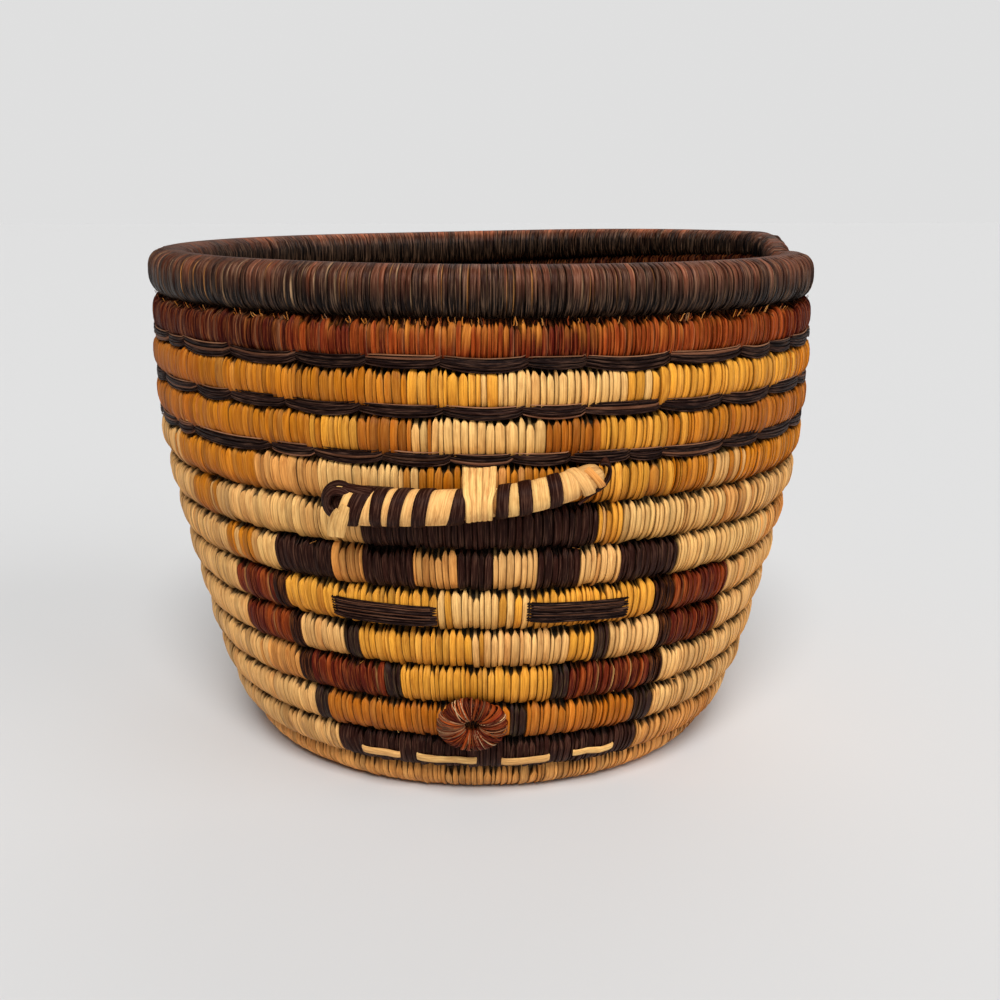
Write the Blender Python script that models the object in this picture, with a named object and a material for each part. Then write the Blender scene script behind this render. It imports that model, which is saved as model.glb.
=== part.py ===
"""Coiled basket with a stylised face sewn into its front.

One long bundle of grass is wound in a spiral, from a small knot in the middle of the floor up to the
rim. Splints are wrapped and sewn over it course by course, and their colours draw the face. A wrapped
roll, two eyes, a nose and teeth are sewn on the outside, and three dark strips lie in the upper creases.

The basket stands on z = 0 with its axis on the Z axis and its face towards -Y. Lengths are metres.
A place on the coil is counted in turns from its start. A front angle is in degrees from the middle of
the face, positive to the viewer's right.
"""

import math
from collections import namedtuple

import bmesh
import bpy
import numpy as np
from mathutils import Matrix, Vector

# The coil
COURSE_RADIUS = 0.00596         # a wrapped course, from its middle to its outside
SECOND_RADIUS = COURSE_RADIUS - 0.00034     # the thinner course under the rim
RIM_RADIUS = COURSE_RADIUS + 0.00034    # the thicker last course
RIM_END_RADIUS = 0.0023         # the last course where it tapers out
START_RADIUS = 0.0030           # the first course at the knot
SECTION_POWER = 2.5             # of a course's section, a rounded square. 2 would make it round
SECTION_WIDTH = 1.04            # width of a course, out from the wall, as a part of its height
COURSE_GAP = 0.0005             # between neighbouring courses
WRAP_THICKNESS = 0.0010         # of the sewn splints around the grass
FIT = 0.0003                    # between pieces that touch
TURNS = 19                      # whole turns from the knot to the end of the rim
GROW_TURNS = 3.4                # turns over which the coil gains its full thickness
START_DISTANCE = 0.0060         # from the axis to the middle of the coil where it starts
KNOT_PROFILE = ((0.0, 0.9), (0.1, 1.0), (0.8, 1.0), (1.0, 0.8))     # parts of its height and width
SEAM_ANGLE = 90.0               # front angle at which every turn begins and the rim ends
LEVEL_SHARE = 0.12              # share of a wall turn's climb that is spread evenly round it
CLIMB_START = 0.68              # part of a wall turn after which the rest of its climb comes
SETTLE_TURNS = 6                # floor turns in which the even spiral becomes nearly level courses
REST_FLAT = 0.0005              # depth to which the underside is pressed flat

# The outline of the wall, followed through the middles of the courses
COURSE_PITCH = 2 * COURSE_RADIUS + COURSE_GAP
FLOOR_RADIUS = 0.0672           # where the floor starts to turn up
CORNER_LENGTH = 0.40 * COURSE_PITCH
FOOT_LEAN = 48.0                # degrees outwards from upright, just above the floor
FOOT_FADE = 0.92 * COURSE_PITCH     # length in which the lean at the foot dies away
WALL_LEAN = 12.6
RIM_LEAN = -0.4
SHOULDER_LOW = 5.72 * COURSE_PITCH      # heights between which the wall turns upright
SHOULDER_HIGH = 10.80 * COURSE_PITCH

# The sewing, counted in stitches. Courses are counted down from the rim, which is course 1.
STITCH_WIDTH = 0.0024
LOWEST_PLAIN_TOP_COURSE = 5
TOP_COURSES = (("rim", 1, "dark"), ("maroon_course", 2, "maroon"),
               ("upper_gold_course", 3, "gold"), ("lower_gold_course", 4, "gold"))
# course, stitches from the middle of the face to its left end, then its blocks from left to right
FACE = (
    (6, -13, ((("black", 27),),)),
    (7, -25, ((("black", 8),), (("tan", 4),), (("black", 6),), (("tan", 5),), (("black", 4),),
              (("cream", 5),), (("black", 5),), (("cream", 5),), (("black", 8),))),
    (8, -33, ((("maroon", 7), ("black", 2)), (("yellow", 46),), (("black", 3), ("maroon", 10)))),
    (9, -32, ((("maroon", 8), ("black", 2)), (("cream", 6), ("black", 2)), (("yellow", 28),),
              (("black", 2), ("cream", 7)), (("black", 2), ("maroon", 9)))),
    (10, -23, ((("black", 2), ("maroon", 10)), (("black", 2), ("yellow", 18), ("black", 2)),
               (("maroon", 11), ("black", 2)))),
    (11, -21, ((("black", 2), ("gold", 23), ("black", 2), ("gold", 14), ("black", 3)),)),
    (12, -18, ((("black", 39),),)),
)

# Dark strips in the creases under these courses
STRIPS = (("upper_strip", 2), ("middle_strip", 3), ("lower_strip", 4))
STRIP_HALF_HEIGHT = 0.0014
STRIP_THICKNESS = 0.0016
STRIP_EDGE = 0.6                # height of its outer side as a share of its inner side

# The wrapped roll above the face
ROLL_COURSE = 5                 # its height is set from this course
ROLL_LENGTH = 0.0690
ROLL_DROP = 0.44 * COURSE_PITCH     # of its left end under the middle of the course
ROLL_RISE = 0.685 * COURSE_PITCH    # of its right end over its left end
ROLL_LEFT_RADIUS = 0.0050
ROLL_RIGHT_RADIUS = 0.0043
ROLL_WRAP_START = 0.07          # parts of the roll's length between which it is wrapped
ROLL_WRAP_END = 0.885
ROLL_JOIN = 0.50                # part of the roll's length where the two wrappings meet
ROLL_TIP = ((0.92, 1.0), (0.955, 0.8), (0.975, 0.4))    # parts of its length, and thickness there
STRAP_WIDTH = 0.0078
STRAP_THICKNESS = 0.0009
LOOP_RADIUS = 0.0031            # of the curled left end
LOOP_THICKNESS = 0.0015
END_RING_THICKNESS = 0.0005     # of the dark ring round the right end

# Bundles sewn on a course: the stitches from the middle of the face to each end, and their shifts up
EYES = (("left_eye", 8, -17.2, -4.5, 0.0012, -0.0014), ("right_eye", 8, 5.9, 18.3, -0.0006, 0.0004))
EYE_HALF_HEIGHT = 0.0027
EYE_THICKNESS = 0.0018
TEETH = (("tooth_1", 12, -14.6, -9.6, 0.0, 0.0), ("tooth_2", 12, -7.4, -0.1, 0.0, -0.0004),
         ("tooth_3", 12, 3.0, 8.9, -0.0008, -0.0004), ("tooth_4", 12, 12.0, 17.4, 0.0, 0.0006))
TOOTH_HALF_HEIGHT = 0.0012
TOOTH_THICKNESS = 0.0008
BAR_OUTLINE = ((0, -0.9), (0.8, -0.85), (1, 0), (0.8, 0.85), (0, 0.9))  # parts of thickness, half height

# The nose, a rosette in the middle of the face
NOSE_COURSE = 11
NOSE_LIFT = 0.0014              # of its middle over the middle of the course
NOSE_RING_RADIUS = 0.0056
NOSE_RING_THICKNESS = 0.0034
NOSE_SQUASH = (1.04, 0.86, 0.70)    # sideways, upwards and outwards
NOSE_TOUCH_ANGLE = 30           # round the ring from its lower end, where it meets the course

# How finely the solids are made
STATIONS_PER_TURN = 20
CHORD_SWELL = 2 / (1 + math.cos(math.pi / STATIONS_PER_TURN))   # sets the turns half outside their circle
COARSE_TURNS = 2                # inner turns that take every second station
FLAT_ANGLE = 18                 # half of the angle that the flat front of a section takes up
OUTSIDE_ANGLES = (-FLAT_ANGLE, FLAT_ANGLE, 50, 90, 130, 162, 198, 230, 270, 310)
BORE_ANGLES = (18, 90, 162, 234, 306)
SEAT_ANGLES = range(-88, 92, 4)     # at which a piece on the wall may touch a course
ROLL_SIDES = 8
ROLL_POINTS = 13
STRAP_POINTS = 11
BAR_POINTS = 4
RING_SEGMENTS = 14
RING_SIDES = 8
SEAT_STEPS = 6                  # for the place of a strip against a course
OUTLINE_STEP = 0.0001
SMOOTH_ANGLE = 62.0

COLOURS = {                     # sRGB values 0-255
    "cream": (206, 172, 122), "tan": (196, 150, 88), "gold": (196, 142, 48),
    "yellow": (214, 172, 78), "maroon": (112, 46, 34), "black": (30, 22, 20),
    "dark": (58, 42, 36), "grass": (176, 146, 96),
}

Station = namedtuple("Station", "turn radius height lean thick")


def remove_everything():
    for old in list(bpy.data.objects):
        bpy.data.objects.remove(old, do_unlink=True)


def linear(channel):
    value = channel / 255
    return value / 12.92 if value <= 0.04045 else ((value + 0.055) / 1.055) ** 2.4


def make_material(name, colour):
    material = bpy.data.materials.new(name)
    material.use_nodes = True
    shader = material.node_tree.nodes["Principled BSDF"]
    shader.inputs["Base Color"].default_value = (*[linear(c) for c in colour], 1)
    shader.inputs["Roughness"].default_value = 0.6
    shader.inputs["Metallic"].default_value = 0.0
    return material


def smoothstep(x):
    q = min(max(x, 0.0), 1.0)
    return q * q * (3 - 2 * q)


# The coil's path

def trace_outline():
    """Follow the floor and the wall through the middles of the courses, out from the axis and up."""
    longest = (TURNS + 2) * 2 * max(COURSE_RADIUS + COURSE_GAP, RIM_RADIUS)
    corner_end = FLOOR_RADIUS + CORNER_LENGTH
    radius, height = 0.0, COURSE_RADIUS - REST_FLAT
    rows = []
    for step in range(int(longest / OUTLINE_STEP)):
        along = step * OUTLINE_STEP
        if along < corner_end:
            lean = 90 + (FOOT_LEAN - 90) * max(along - FLOOR_RADIUS, 0) / CORNER_LENGTH
        else:
            upright = smoothstep((height - SHOULDER_LOW) / (SHOULDER_HIGH - SHOULDER_LOW))
            foot = math.exp(-(along - corner_end) / FOOT_FADE)
            lean = WALL_LEAN + (RIM_LEAN - WALL_LEAN) * upright + (FOOT_LEAN - WALL_LEAN) * foot
        rows.append((along, radius, height, math.radians(lean)))
        radius += OUTLINE_STEP * math.sin(math.radians(lean))
        height += OUTLINE_STEP * math.cos(math.radians(lean))
    return np.array(rows)


OUTLINE = trace_outline()


def outline_at(along):
    return [float(np.interp(along, OUTLINE[:, 0], OUTLINE[:, k])) for k in (1, 2, 3)]


def climb(part):
    """Share of a wall turn's climb that is reached after this part of the turn."""
    rest = smoothstep((part - CLIMB_START) / (1 - CLIMB_START))
    return LEVEL_SHARE * part + (1 - LEVEL_SHARE) * rest


def thickness_at(turn):
    """Radius of the wrapped coil. On the floor it is thinner where the turns have to close up."""
    part = turn % 1
    if turn > TURNS - 1:
        taper = smoothstep((turn - TURNS + 1 - CLIMB_START) / (1 - CLIMB_START))
        ramp = min((turn - TURNS + 1) * STATIONS_PER_TURN, 1)
        return SECOND_RADIUS + (RIM_RADIUS - SECOND_RADIUS) * ramp + (RIM_END_RADIUS - RIM_RADIUS) * taper
    if turn > TURNS - 2:
        ramp = min((turn - TURNS + 2) * STATIONS_PER_TURN, 1)
        return COURSE_RADIUS + (SECOND_RADIUS - COURSE_RADIUS) * ramp
    full = START_RADIUS + (COURSE_RADIUS - START_RADIUS) * min(turn / GROW_TURNS, 1)
    if turn >= SETTLE_TURNS:
        return full
    return full - COURSE_PITCH * (part - climb(part)) / (2 * SETTLE_TURNS)


def next_course(along, distance):
    """Place on the outline that lies this distance, in a straight line, from an earlier place."""
    radius, height, _ = outline_at(along)
    low, high = along + 0.5 * distance, along + 2 * distance
    while high - low > OUTLINE_STEP / 1000:
        middle = (low + high) / 2
        far_radius, far_height, _ = outline_at(middle)
        if math.hypot(far_radius - radius, far_height - height) < distance:
            low = middle
        else:
            high = middle
    return low


def wind_coil():
    """Stations along the coil. Each lies against the one a turn before it."""
    stations, places = [], []
    for index in range(TURNS * STATIONS_PER_TURN + 1):
        turn = index / STATIONS_PER_TURN
        thick = thickness_at(turn)
        if turn < 1:
            along = START_DISTANCE + (START_RADIUS + thickness_at(1) + COURSE_GAP) * turn
        else:
            inner = thickness_at(turn - 1)
            along = next_course(places[index - STATIONS_PER_TURN], inner + thick + COURSE_GAP)
        places.append(along)
        radius, height, lean = outline_at(along)
        if turn < SETTLE_TURNS:
            height += thick - COURSE_RADIUS
        stations.append(Station(turn, radius, height, lean, thick))
    return stations


EVERY_STATION = wind_coil()
PATH = np.array(EVERY_STATION)
STATIONS = [s for i, s in enumerate(EVERY_STATION) if s.turn >= COARSE_TURNS or i % 2 == 0]
STATION_TURNS = np.array([s.turn for s in STATIONS])


def course_at(turn):
    """The coil's smooth path between its stations."""
    return Station(turn, *[float(np.interp(turn, PATH[:, 0], PATH[:, k])) for k in (1, 2, 3, 4)])


def turn_of(course, front_angle=0.0):
    return TURNS - course + (SEAM_ANGLE - front_angle) / 360


def stitch_turns(course, stitches):
    """Part of a turn that a count of stitches takes up on a course."""
    place = course_at(turn_of(course))
    return stitches * STITCH_WIDTH / (2 * math.pi * (place.radius + place.thick))


def stitch_turn(course, stitches):
    """Place on the coil that lies this many stitches to the right of the middle of the face."""
    return turn_of(course) - stitch_turns(course, stitches)


def on_azimuth(front_angle, radius, height):
    a = math.radians(front_angle)
    return Vector((radius * math.sin(a), -radius * math.cos(a), height))


def around(station, angle, distance, shift=0.0):
    """A point of the station's upright section. Angle 0 is outwards, 90 is towards the next turn."""
    a = math.radians(angle)
    out, up = distance * math.cos(a), distance * math.sin(a) + shift
    radius = station.radius + out * math.cos(station.lean) + up * math.sin(station.lean)
    height = station.height - out * math.sin(station.lean) + up * math.cos(station.lean)
    return on_azimuth(SEAM_ANGLE - 360 * station.turn, radius * CHORD_SWELL, max(height, 0.0))


def outside_at(station, angle):
    """Distance from the coil's middle to its outside at an angle of its section."""
    a = math.radians(angle)
    across, along = abs(math.cos(a)) / SECTION_WIDTH, abs(math.sin(a))
    return station.thick * (across ** SECTION_POWER + along ** SECTION_POWER) ** (-1 / SECTION_POWER)


def front_distance(station):
    """Distance from the coil's middle to the flat front of its section."""
    return outside_at(station, FLAT_ANGLE) * math.cos(math.radians(FLAT_ANGLE))


def bore_radius(station):
    return station.thick - WRAP_THICKNESS


def grass_radius(station):
    return bore_radius(station) - FIT / math.cos(math.pi / len(BORE_ANGLES))


def stations_beside(turn):
    """The stations before and after a place on the coil, and its share of the way between them."""
    after = min(max(int(np.searchsorted(STATION_TURNS, turn)), 1), len(STATIONS) - 1)
    first, second = STATIONS[after - 1], STATIONS[after]
    return first, second, (turn - first.turn) / (second.turn - first.turn)


def ring_at(turn, angles, distance):
    """Section points at any turn, on the straight line between the two stations beside it."""
    first, second, share = stations_beside(turn)
    return [around(first, a, distance(first, a)).lerp(around(second, a, distance(second, a)), share)
            for a in angles]


def fit_turns(turn):
    """The fit between two pieces, as a part of a turn at this place on the coil."""
    return FIT / (2 * math.pi * course_at(turn).radius)


# Mesh building

def add_piece(name, mesh, materials):
    for material in materials:
        mesh.materials.append(MATERIALS[material])
    mesh.shade_smooth()
    mesh.set_sharp_from_angle(angle=math.radians(SMOOTH_ANGLE))
    piece = bpy.data.objects.new(name, mesh)
    bpy.context.scene.collection.objects.link(piece)
    piece.parent = BASKET


def finish_piece(name, bm, materials):
    bmesh.ops.recalc_face_normals(bm, faces=bm.faces)
    mesh = bpy.data.meshes.new(name)
    bm.to_mesh(mesh)
    bm.free()
    add_piece(name, mesh, materials)


def add_rings(bm, sections):
    return [[bm.verts.new(p) for p in section] for section in sections]


def join_rings(bm, rings, slots=None):
    """Skin between consecutive rings of vertices."""
    for index, (first, second) in enumerate(zip(rings, rings[1:])):
        for k in range(len(first)):
            other = (k + 1) % len(first)
            face = bm.faces.new((first[k], first[other], second[other], second[k]))
            face.material_index = slots[index] if slots else 0


def close_sleeve(bm, outer, inner, slot):
    """Flat end of a wrapping, between its outside and its bore, filled in the order of the angles."""
    outside = [angle - OUTSIDE_ANGLES[0] for angle in OUTSIDE_ANGLES] + [360]
    inside = [angle - OUTSIDE_ANGLES[0] for angle in BORE_ANGLES]
    inside.append(inside[0] + 360)
    i = j = 0
    while i < len(outer) or j < len(inner):
        a, b = outer[i % len(outer)], inner[j % len(inner)]
        if j >= len(inner) or (i < len(outer) and outside[i + 1] <= inside[j + 1]):
            i += 1
            corners = (a, outer[i % len(outer)], b)
        else:
            j += 1
            corners = (a, inner[j % len(inner)], b)
        bm.faces.new(corners).material_index = slot


def make_tube(name, sections, material):
    """A closed tube through rings of points."""
    bm = bmesh.new()
    rings = add_rings(bm, sections)
    join_rings(bm, rings)
    bm.faces.new(rings[0])
    bm.faces.new(rings[-1])
    finish_piece(name, bm, [material])


def make_wrap(name, start, end, bands):
    """Wrapping round the grass from one turn to another. Each band is (turn where it ends, colour)."""
    edges = [start] + [until for until, _ in bands[:-1]] + [end]
    between = [t for t in STATION_TURNS if start < t < end
               and min(abs(t - edge) for edge in edges) > fit_turns(t)]
    turns = sorted(edges + between)
    colours = list(dict.fromkeys(colour for _, colour in bands))
    slots = []
    for first, second in zip(turns, turns[1:]):
        here = [colour for until, colour in bands if (first + second) / 2 < until]
        slots.append(colours.index(here[0] if here else bands[-1][1]))
    bm = bmesh.new()
    outer = add_rings(bm, [ring_at(t, OUTSIDE_ANGLES, outside_at) for t in turns])
    inner = add_rings(bm, [ring_at(t, BORE_ANGLES, lambda s, a: bore_radius(s)) for t in turns])
    join_rings(bm, outer, slots)
    join_rings(bm, inner, slots)
    close_sleeve(bm, outer[0], inner[0], slots[0])
    close_sleeve(bm, outer[-1], inner[-1], slots[-1])
    finish_piece(name, bm, colours)


def make_ring(name, radius, thick, place, material, squash=(1, 1, 1)):
    """A ring whose hole faces along the third axis of its placement."""
    bpy.ops.mesh.primitive_torus_add(major_radius=radius, minor_radius=thick,
                                     major_segments=RING_SEGMENTS, minor_segments=RING_SIDES)
    drawn = bpy.context.object
    mesh = drawn.data
    bpy.data.objects.remove(drawn)
    mesh.transform(place @ Matrix.Diagonal((*squash, 1)))
    add_piece(name, mesh, [material])


def facing(position, out, up):
    """Placement whose third axis is outwards and whose second axis is as near upwards as it can be."""
    out = out.normalized()
    side = up.cross(out).normalized()
    frame = Matrix((side, out.cross(side), out)).transposed().to_4x4()
    return Matrix.Translation(position) @ frame


# The coil's pieces

def make_foundation():
    sections = [[around(s, a, grass_radius(s)) for a in BORE_ANGLES] for s in STATIONS]
    make_tube("grass_foundation_coil", sections, "grass")


def make_knot():
    """Flat knot inside the first turn. Its outline follows that turn's inner side."""
    outline = [(s.turn, s.radius - s.thick - COURSE_GAP) for s in STATIONS if s.turn <= 1]
    outline[-1] = (1 - COURSE_GAP / (2 * math.pi * START_DISTANCE), outline[-1][1])
    top = 2 * START_RADIUS - REST_FLAT
    sections = [[on_azimuth(SEAM_ANGLE - 360 * turn, radius * wide, top * high) for turn, radius in outline]
                for high, wide in KNOT_PROFILE]
    make_tube("start_knot", sections, "cream")


def make_face_course(course, left_stitch, blocks):
    """Sew one course of the face. Returns the places on the coil between which it lies."""
    left = stitch_turn(course, left_stitch)
    block_left = left
    for number, block in enumerate(blocks, 1):
        right = block_left - stitch_turns(course, sum(count for _, count in block))
        bands, turn = [], right
        for colour, count in reversed(block):
            turn += stitch_turns(course, count)
            bands.append((turn, colour))
        main = max(block, key=lambda band: band[1])[0]
        gap = fit_turns(right) / 2
        make_wrap(f"wrap_{course:02d}_{number}_{main}", right + gap, block_left - gap, bands)
        block_left = right
    return block_left, left


def make_wraps():
    """Wrap the coil from the knot to the rim, with plain stretches between the courses of the face."""
    plain_start, below = 0.0, "floor"
    for course, left_stitch, blocks in sorted(FACE, reverse=True):
        start, end = make_face_course(course, left_stitch, blocks)
        gap = fit_turns(start) / 2
        make_wrap(f"plain_wrap_{below}_to_{course:02d}", plain_start, start - gap, [(start, "cream")])
        plain_start, below = end + gap, f"{course:02d}"
    top = TURNS + 1 - LOWEST_PLAIN_TOP_COURSE
    make_wrap(f"plain_wrap_{below}_to_top", plain_start, top - fit_turns(top) / 2, [(top, "cream")])
    for name, course, colour in TOP_COURSES:
        start, end = TURNS - course, TURNS - course + 1
        finish = min(end, TURNS - fit_turns(end) / 2) if course == 1 else end - fit_turns(end) / 2
        make_wrap(f"{name}_wrap", start + fit_turns(start) / 2, finish, [(end, colour)])


def crease_seat(station, crease):
    """Distance out at which a strip in a crease this far from a course's middle clears the course."""
    beside = crease - STRIP_HALF_HEIGHT
    seat = station.thick
    for _ in range(SEAT_STEPS):
        reach = outside_at(station, math.degrees(math.atan2(beside, seat))) + FIT
        seat = math.sqrt(max(reach ** 2 - beside ** 2, 0.0))
    return seat


def make_strip(name, upper_course):
    """Strip that fills the crease under a course, round one turn."""
    start = TURNS - upper_course - 1
    sections = []
    for low in STATIONS:
        if not start <= low.turn <= start + 1:
            continue
        high = course_at(low.turn + 1)
        across = Vector((high.radius - low.radius, high.height - low.height))
        crease = low.thick + COURSE_GAP / 2
        middle = Vector((low.radius, low.height)) + across.normalized() * crease
        seat = max(crease_seat(low, crease), crease_seat(high, across.length - crease))
        place = Station(low.turn, middle.x, middle.y, math.atan2(across.x, across.y), 0)
        outer, edge = seat + STRIP_THICKNESS, STRIP_HALF_HEIGHT * STRIP_EDGE
        corners = ((seat, -STRIP_HALF_HEIGHT), (outer, -edge), (outer, edge), (seat, STRIP_HALF_HEIGHT))
        sections.append([around(place, 0, out, up) for out, up in corners])
    for end, inner in ((0, 1), (-1, -2)):
        share = FIT / (sections[end][0] - sections[inner][0]).length
        sections[end] = [p.lerp(q, share) for p, q in zip(sections[end], sections[inner])]
    make_tube(name, sections, "black")


# The roll above the face

def seat_radius(front_angle, height, thick):
    """Distance from the axis at which a piece of this radius rests on the courses beside it."""
    nearest, reach = 0.0, thick + FIT
    for course in range(1, TURNS):
        place = course_at(turn_of(course, front_angle))
        for angle in SEAT_ANGLES:
            point = around(place, angle, outside_at(place, angle))
            if abs(height - point.z) < reach:
                out = math.hypot(point.x, point.y) + math.sqrt(reach ** 2 - (height - point.z) ** 2)
                nearest = max(nearest, out)
    return nearest


def roll_at(share):
    """Middle, outward direction and radius of the roll at a part of its length."""
    course = course_at(turn_of(ROLL_COURSE))
    front_angle = math.degrees(ROLL_LENGTH / (course.radius + course.thick)) * (share - 0.5)
    height = course.height - ROLL_DROP + ROLL_RISE * share * abs(share)
    thick = ROLL_LEFT_RADIUS + (ROLL_RIGHT_RADIUS - ROLL_LEFT_RADIUS) * share
    middle = on_azimuth(front_angle, seat_radius(front_angle, height, thick), height)
    return middle, on_azimuth(front_angle, 1.0, 0.0), thick


def roll_direction(share):
    near = (ROLL_WRAP_END - ROLL_WRAP_START) / ROLL_POINTS / 8
    return (roll_at(share + near)[0] - roll_at(share - near)[0]).normalized()


def round_roll(share, angle, distance):
    """A point of the section square to the roll. Angle 0 is outwards and 90 is upwards."""
    middle, out, _ = roll_at(share)
    along = roll_direction(share)
    out = (out - along * out.dot(along)).normalized()
    a = math.radians(angle)
    return middle + distance * (math.cos(a) * out + math.sin(a) * out.cross(along))


def roll_ring(share, thick):
    return [round_roll(share, 360 * k / ROLL_SIDES, thick) for k in range(ROLL_SIDES)]


def roll_core_thick(share):
    return roll_at(share)[2] - WRAP_THICKNESS - FIT / math.cos(math.pi / ROLL_SIDES)


def make_roll_wrap(name, start, end, first_colour):
    """Wrapping round the roll's core, dark and light in turn."""
    middle = [s for s in ROLL_SHARES if start < s < end]
    shares = [start] + middle + [end]
    slots = [k % 2 for k in range(len(shares) - 1)]
    bm = bmesh.new()
    outer = add_rings(bm, [roll_ring(s, roll_at(s)[2]) for s in shares])
    inner = add_rings(bm, [roll_ring(s, roll_at(s)[2] - WRAP_THICKNESS) for s in shares])
    join_rings(bm, outer, slots)
    join_rings(bm, inner, slots)
    join_rings(bm, [outer[0], inner[0]])
    join_rings(bm, [outer[-1], inner[-1]])
    finish_piece(name, bm, [first_colour, "cream" if first_colour == "black" else "black"])


def make_roll():
    core = [(share, 1.0) for share in ROLL_SHARES] + list(ROLL_TIP)
    make_tube("roll_core", [roll_ring(s, roll_core_thick(s) * size) for s, size in core], "cream")
    gap = FIT / 2 / (roll_at(1)[0] - roll_at(0)[0]).length
    make_roll_wrap("roll_left_wrap", ROLL_WRAP_START, ROLL_JOIN - gap, "cream")
    make_roll_wrap("roll_right_wrap", ROLL_JOIN + gap, ROLL_WRAP_END, "black")


def strap_end(direction):
    """Degrees round the roll, up or down from its front, at which the strap meets the wall."""
    outside = roll_at(ROLL_JOIN)[2] + FIT + STRAP_THICKNESS
    for angle in range(90, 180):
        point = round_roll(ROLL_JOIN, direction * angle, outside)
        if math.hypot(point.x, point.y) < seat_radius(0.0, point.z, 0.0) + FIT:
            break
    return direction * (angle - 1)


def make_strap():
    """Broad stitch that ties the roll down at its middle."""
    half = STRAP_WIDTH / 2 / (roll_at(1)[0] - roll_at(0)[0]).length
    low, high = strap_end(-1), strap_end(1)
    sections = []
    for k in range(STRAP_POINTS):
        section = []
        for side, height in ((-half, 0), (half, 0), (half, 1), (-half, 1)):
            share = ROLL_JOIN + side
            distance = roll_at(share)[2] + FIT + height * STRAP_THICKNESS
            section.append(round_roll(share, low + (high - low) * k / (STRAP_POINTS - 1), distance))
        sections.append(section)
    make_tube("roll_tie_strap", sections, "cream")


def make_roll_ends():
    """The curled loop at the roll's left end and the dark ring round its right end."""
    upwards = Vector((0, 0, 1))
    end = roll_at(ROLL_WRAP_START)[0]
    beside = end - roll_direction(ROLL_WRAP_START) * (LOOP_RADIUS + LOOP_THICKNESS + FIT)
    front_angle = math.degrees(math.atan2(beside.x, -beside.y))
    seat = max(seat_radius(front_angle, end.z + LOOP_RADIUS * part, LOOP_THICKNESS)
               for part in (-1, -0.5, 0, 0.5, 1))
    make_ring("roll_left_loop", LOOP_RADIUS, LOOP_THICKNESS,
              facing(on_azimuth(front_angle, seat, end.z), on_azimuth(front_angle, 1, 0), upwards),
              "black")
    share = ROLL_TIP[0][0]
    inside = roll_core_thick(share) + FIT / math.cos(math.pi / RING_SEGMENTS)
    make_ring("roll_end_ring", inside + END_RING_THICKNESS, END_RING_THICKNESS,
              facing(roll_at(share)[0], roll_direction(share), upwards), "black")


# The features sewn on the face

def make_bar(bar, half_height, thick, material):
    """A flat bundle laid along a course, shifted up or down at each end."""
    name, course, left_stitch, right_stitch, left_shift, right_shift = bar
    left, right = stitch_turn(course, left_stitch), stitch_turn(course, right_stitch)
    turns = {right + (left - right) * k / (BAR_POINTS - 1) for k in range(BAR_POINTS)}
    turns |= {t for t in STATION_TURNS if right < t < left}
    sections = []
    for turn in sorted(turns):
        shift = right_shift + (left_shift - right_shift) * (turn - right) / (left - right)
        first, second, share = stations_beside(turn)
        section = []
        for out, up in BAR_OUTLINE:
            ends = [around(s, 0, front_distance(s) + FIT + thick * out, shift + up * half_height)
                    for s in (first, second)]
            section.append(ends[0].lerp(ends[1], share))
        sections.append(section)
    make_tube(name, sections, material)


def make_nose():
    """A rosette that rests on the courses behind it."""
    places = [course_at(turn_of(NOSE_COURSE + step)) for step in (1, 0, -1)]
    low, middle, high = [on_azimuth(0, place.radius * CHORD_SWELL, place.height) for place in places]
    up = (high - low).normalized()
    out = on_azimuth(0, 1, 0)
    out = (out - up * out.dot(up)).normalized()
    seat = max((point - middle).dot(out) + front_distance(place)
               for point, place in zip((low, middle, high), places))
    back = NOSE_RING_THICKNESS * NOSE_SQUASH[2]
    touches_at = NOSE_RING_RADIUS * NOSE_SQUASH[0] * math.sin(math.radians(NOSE_TOUCH_ANGLE))
    falls_away = touches_at * math.tan(math.pi / STATIONS_PER_TURN)
    position = middle + out * (seat + FIT + back - falls_away) + up * NOSE_LIFT
    make_ring("nose_rosette", NOSE_RING_RADIUS, NOSE_RING_THICKNESS,
              facing(position, out, up), "maroon", NOSE_SQUASH)


def report_gaps():
    """Least distance between the coil's turns, measured on the points of its sections."""
    for label, angles, size in (("grass foundation", BORE_ANGLES, lambda s, a: grass_radius(s)),
                                ("wrapping", OUTSIDE_ANGLES, outside_at)):
        least = float("inf")
        for low in STATIONS:
            if low.turn + 1 > TURNS:
                break
            high = course_at(low.turn + 1)
            here = [around(low, a, size(low, a)) for a in angles]
            beyond = [around(high, a, size(high, a)) for a in angles]
            least = min(least, min((p - q).length for p in here for q in beyond))
        print(f"{label}: least gap between turns {least * 1000:.2f} mm")


ROLL_SHARES = [ROLL_WRAP_START + (ROLL_WRAP_END - ROLL_WRAP_START) * k / (ROLL_POINTS - 1)
               for k in range(ROLL_POINTS)]

remove_everything()
MATERIALS = {name: make_material(name, colour) for name, colour in COLOURS.items()}
BASKET = bpy.data.objects.new("coiled_basket", None)
bpy.context.scene.collection.objects.link(BASKET)
make_foundation()
make_knot()
make_wraps()
for strip_name, strip_course in STRIPS:
    make_strip(strip_name, strip_course)
make_roll()
make_strap()
make_roll_ends()
for eye in EYES:
    make_bar(eye, EYE_HALF_HEIGHT, EYE_THICKNESS, "black")
for tooth in TEETH:
    make_bar(tooth, TOOTH_HALF_HEIGHT, TOOTH_THICKNESS, "cream")
make_nose()
report_gaps()
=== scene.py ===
"""Looks of the coiled basket: each stitch, strip, wrapped band and fibre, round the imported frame.

The coil's path follows the same formulas and sizes as the CAD model. Lengths are metres. A place on
the coil is counted in turns from its start, and courses are counted down from the rim, course 1.
"""
import math

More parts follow.
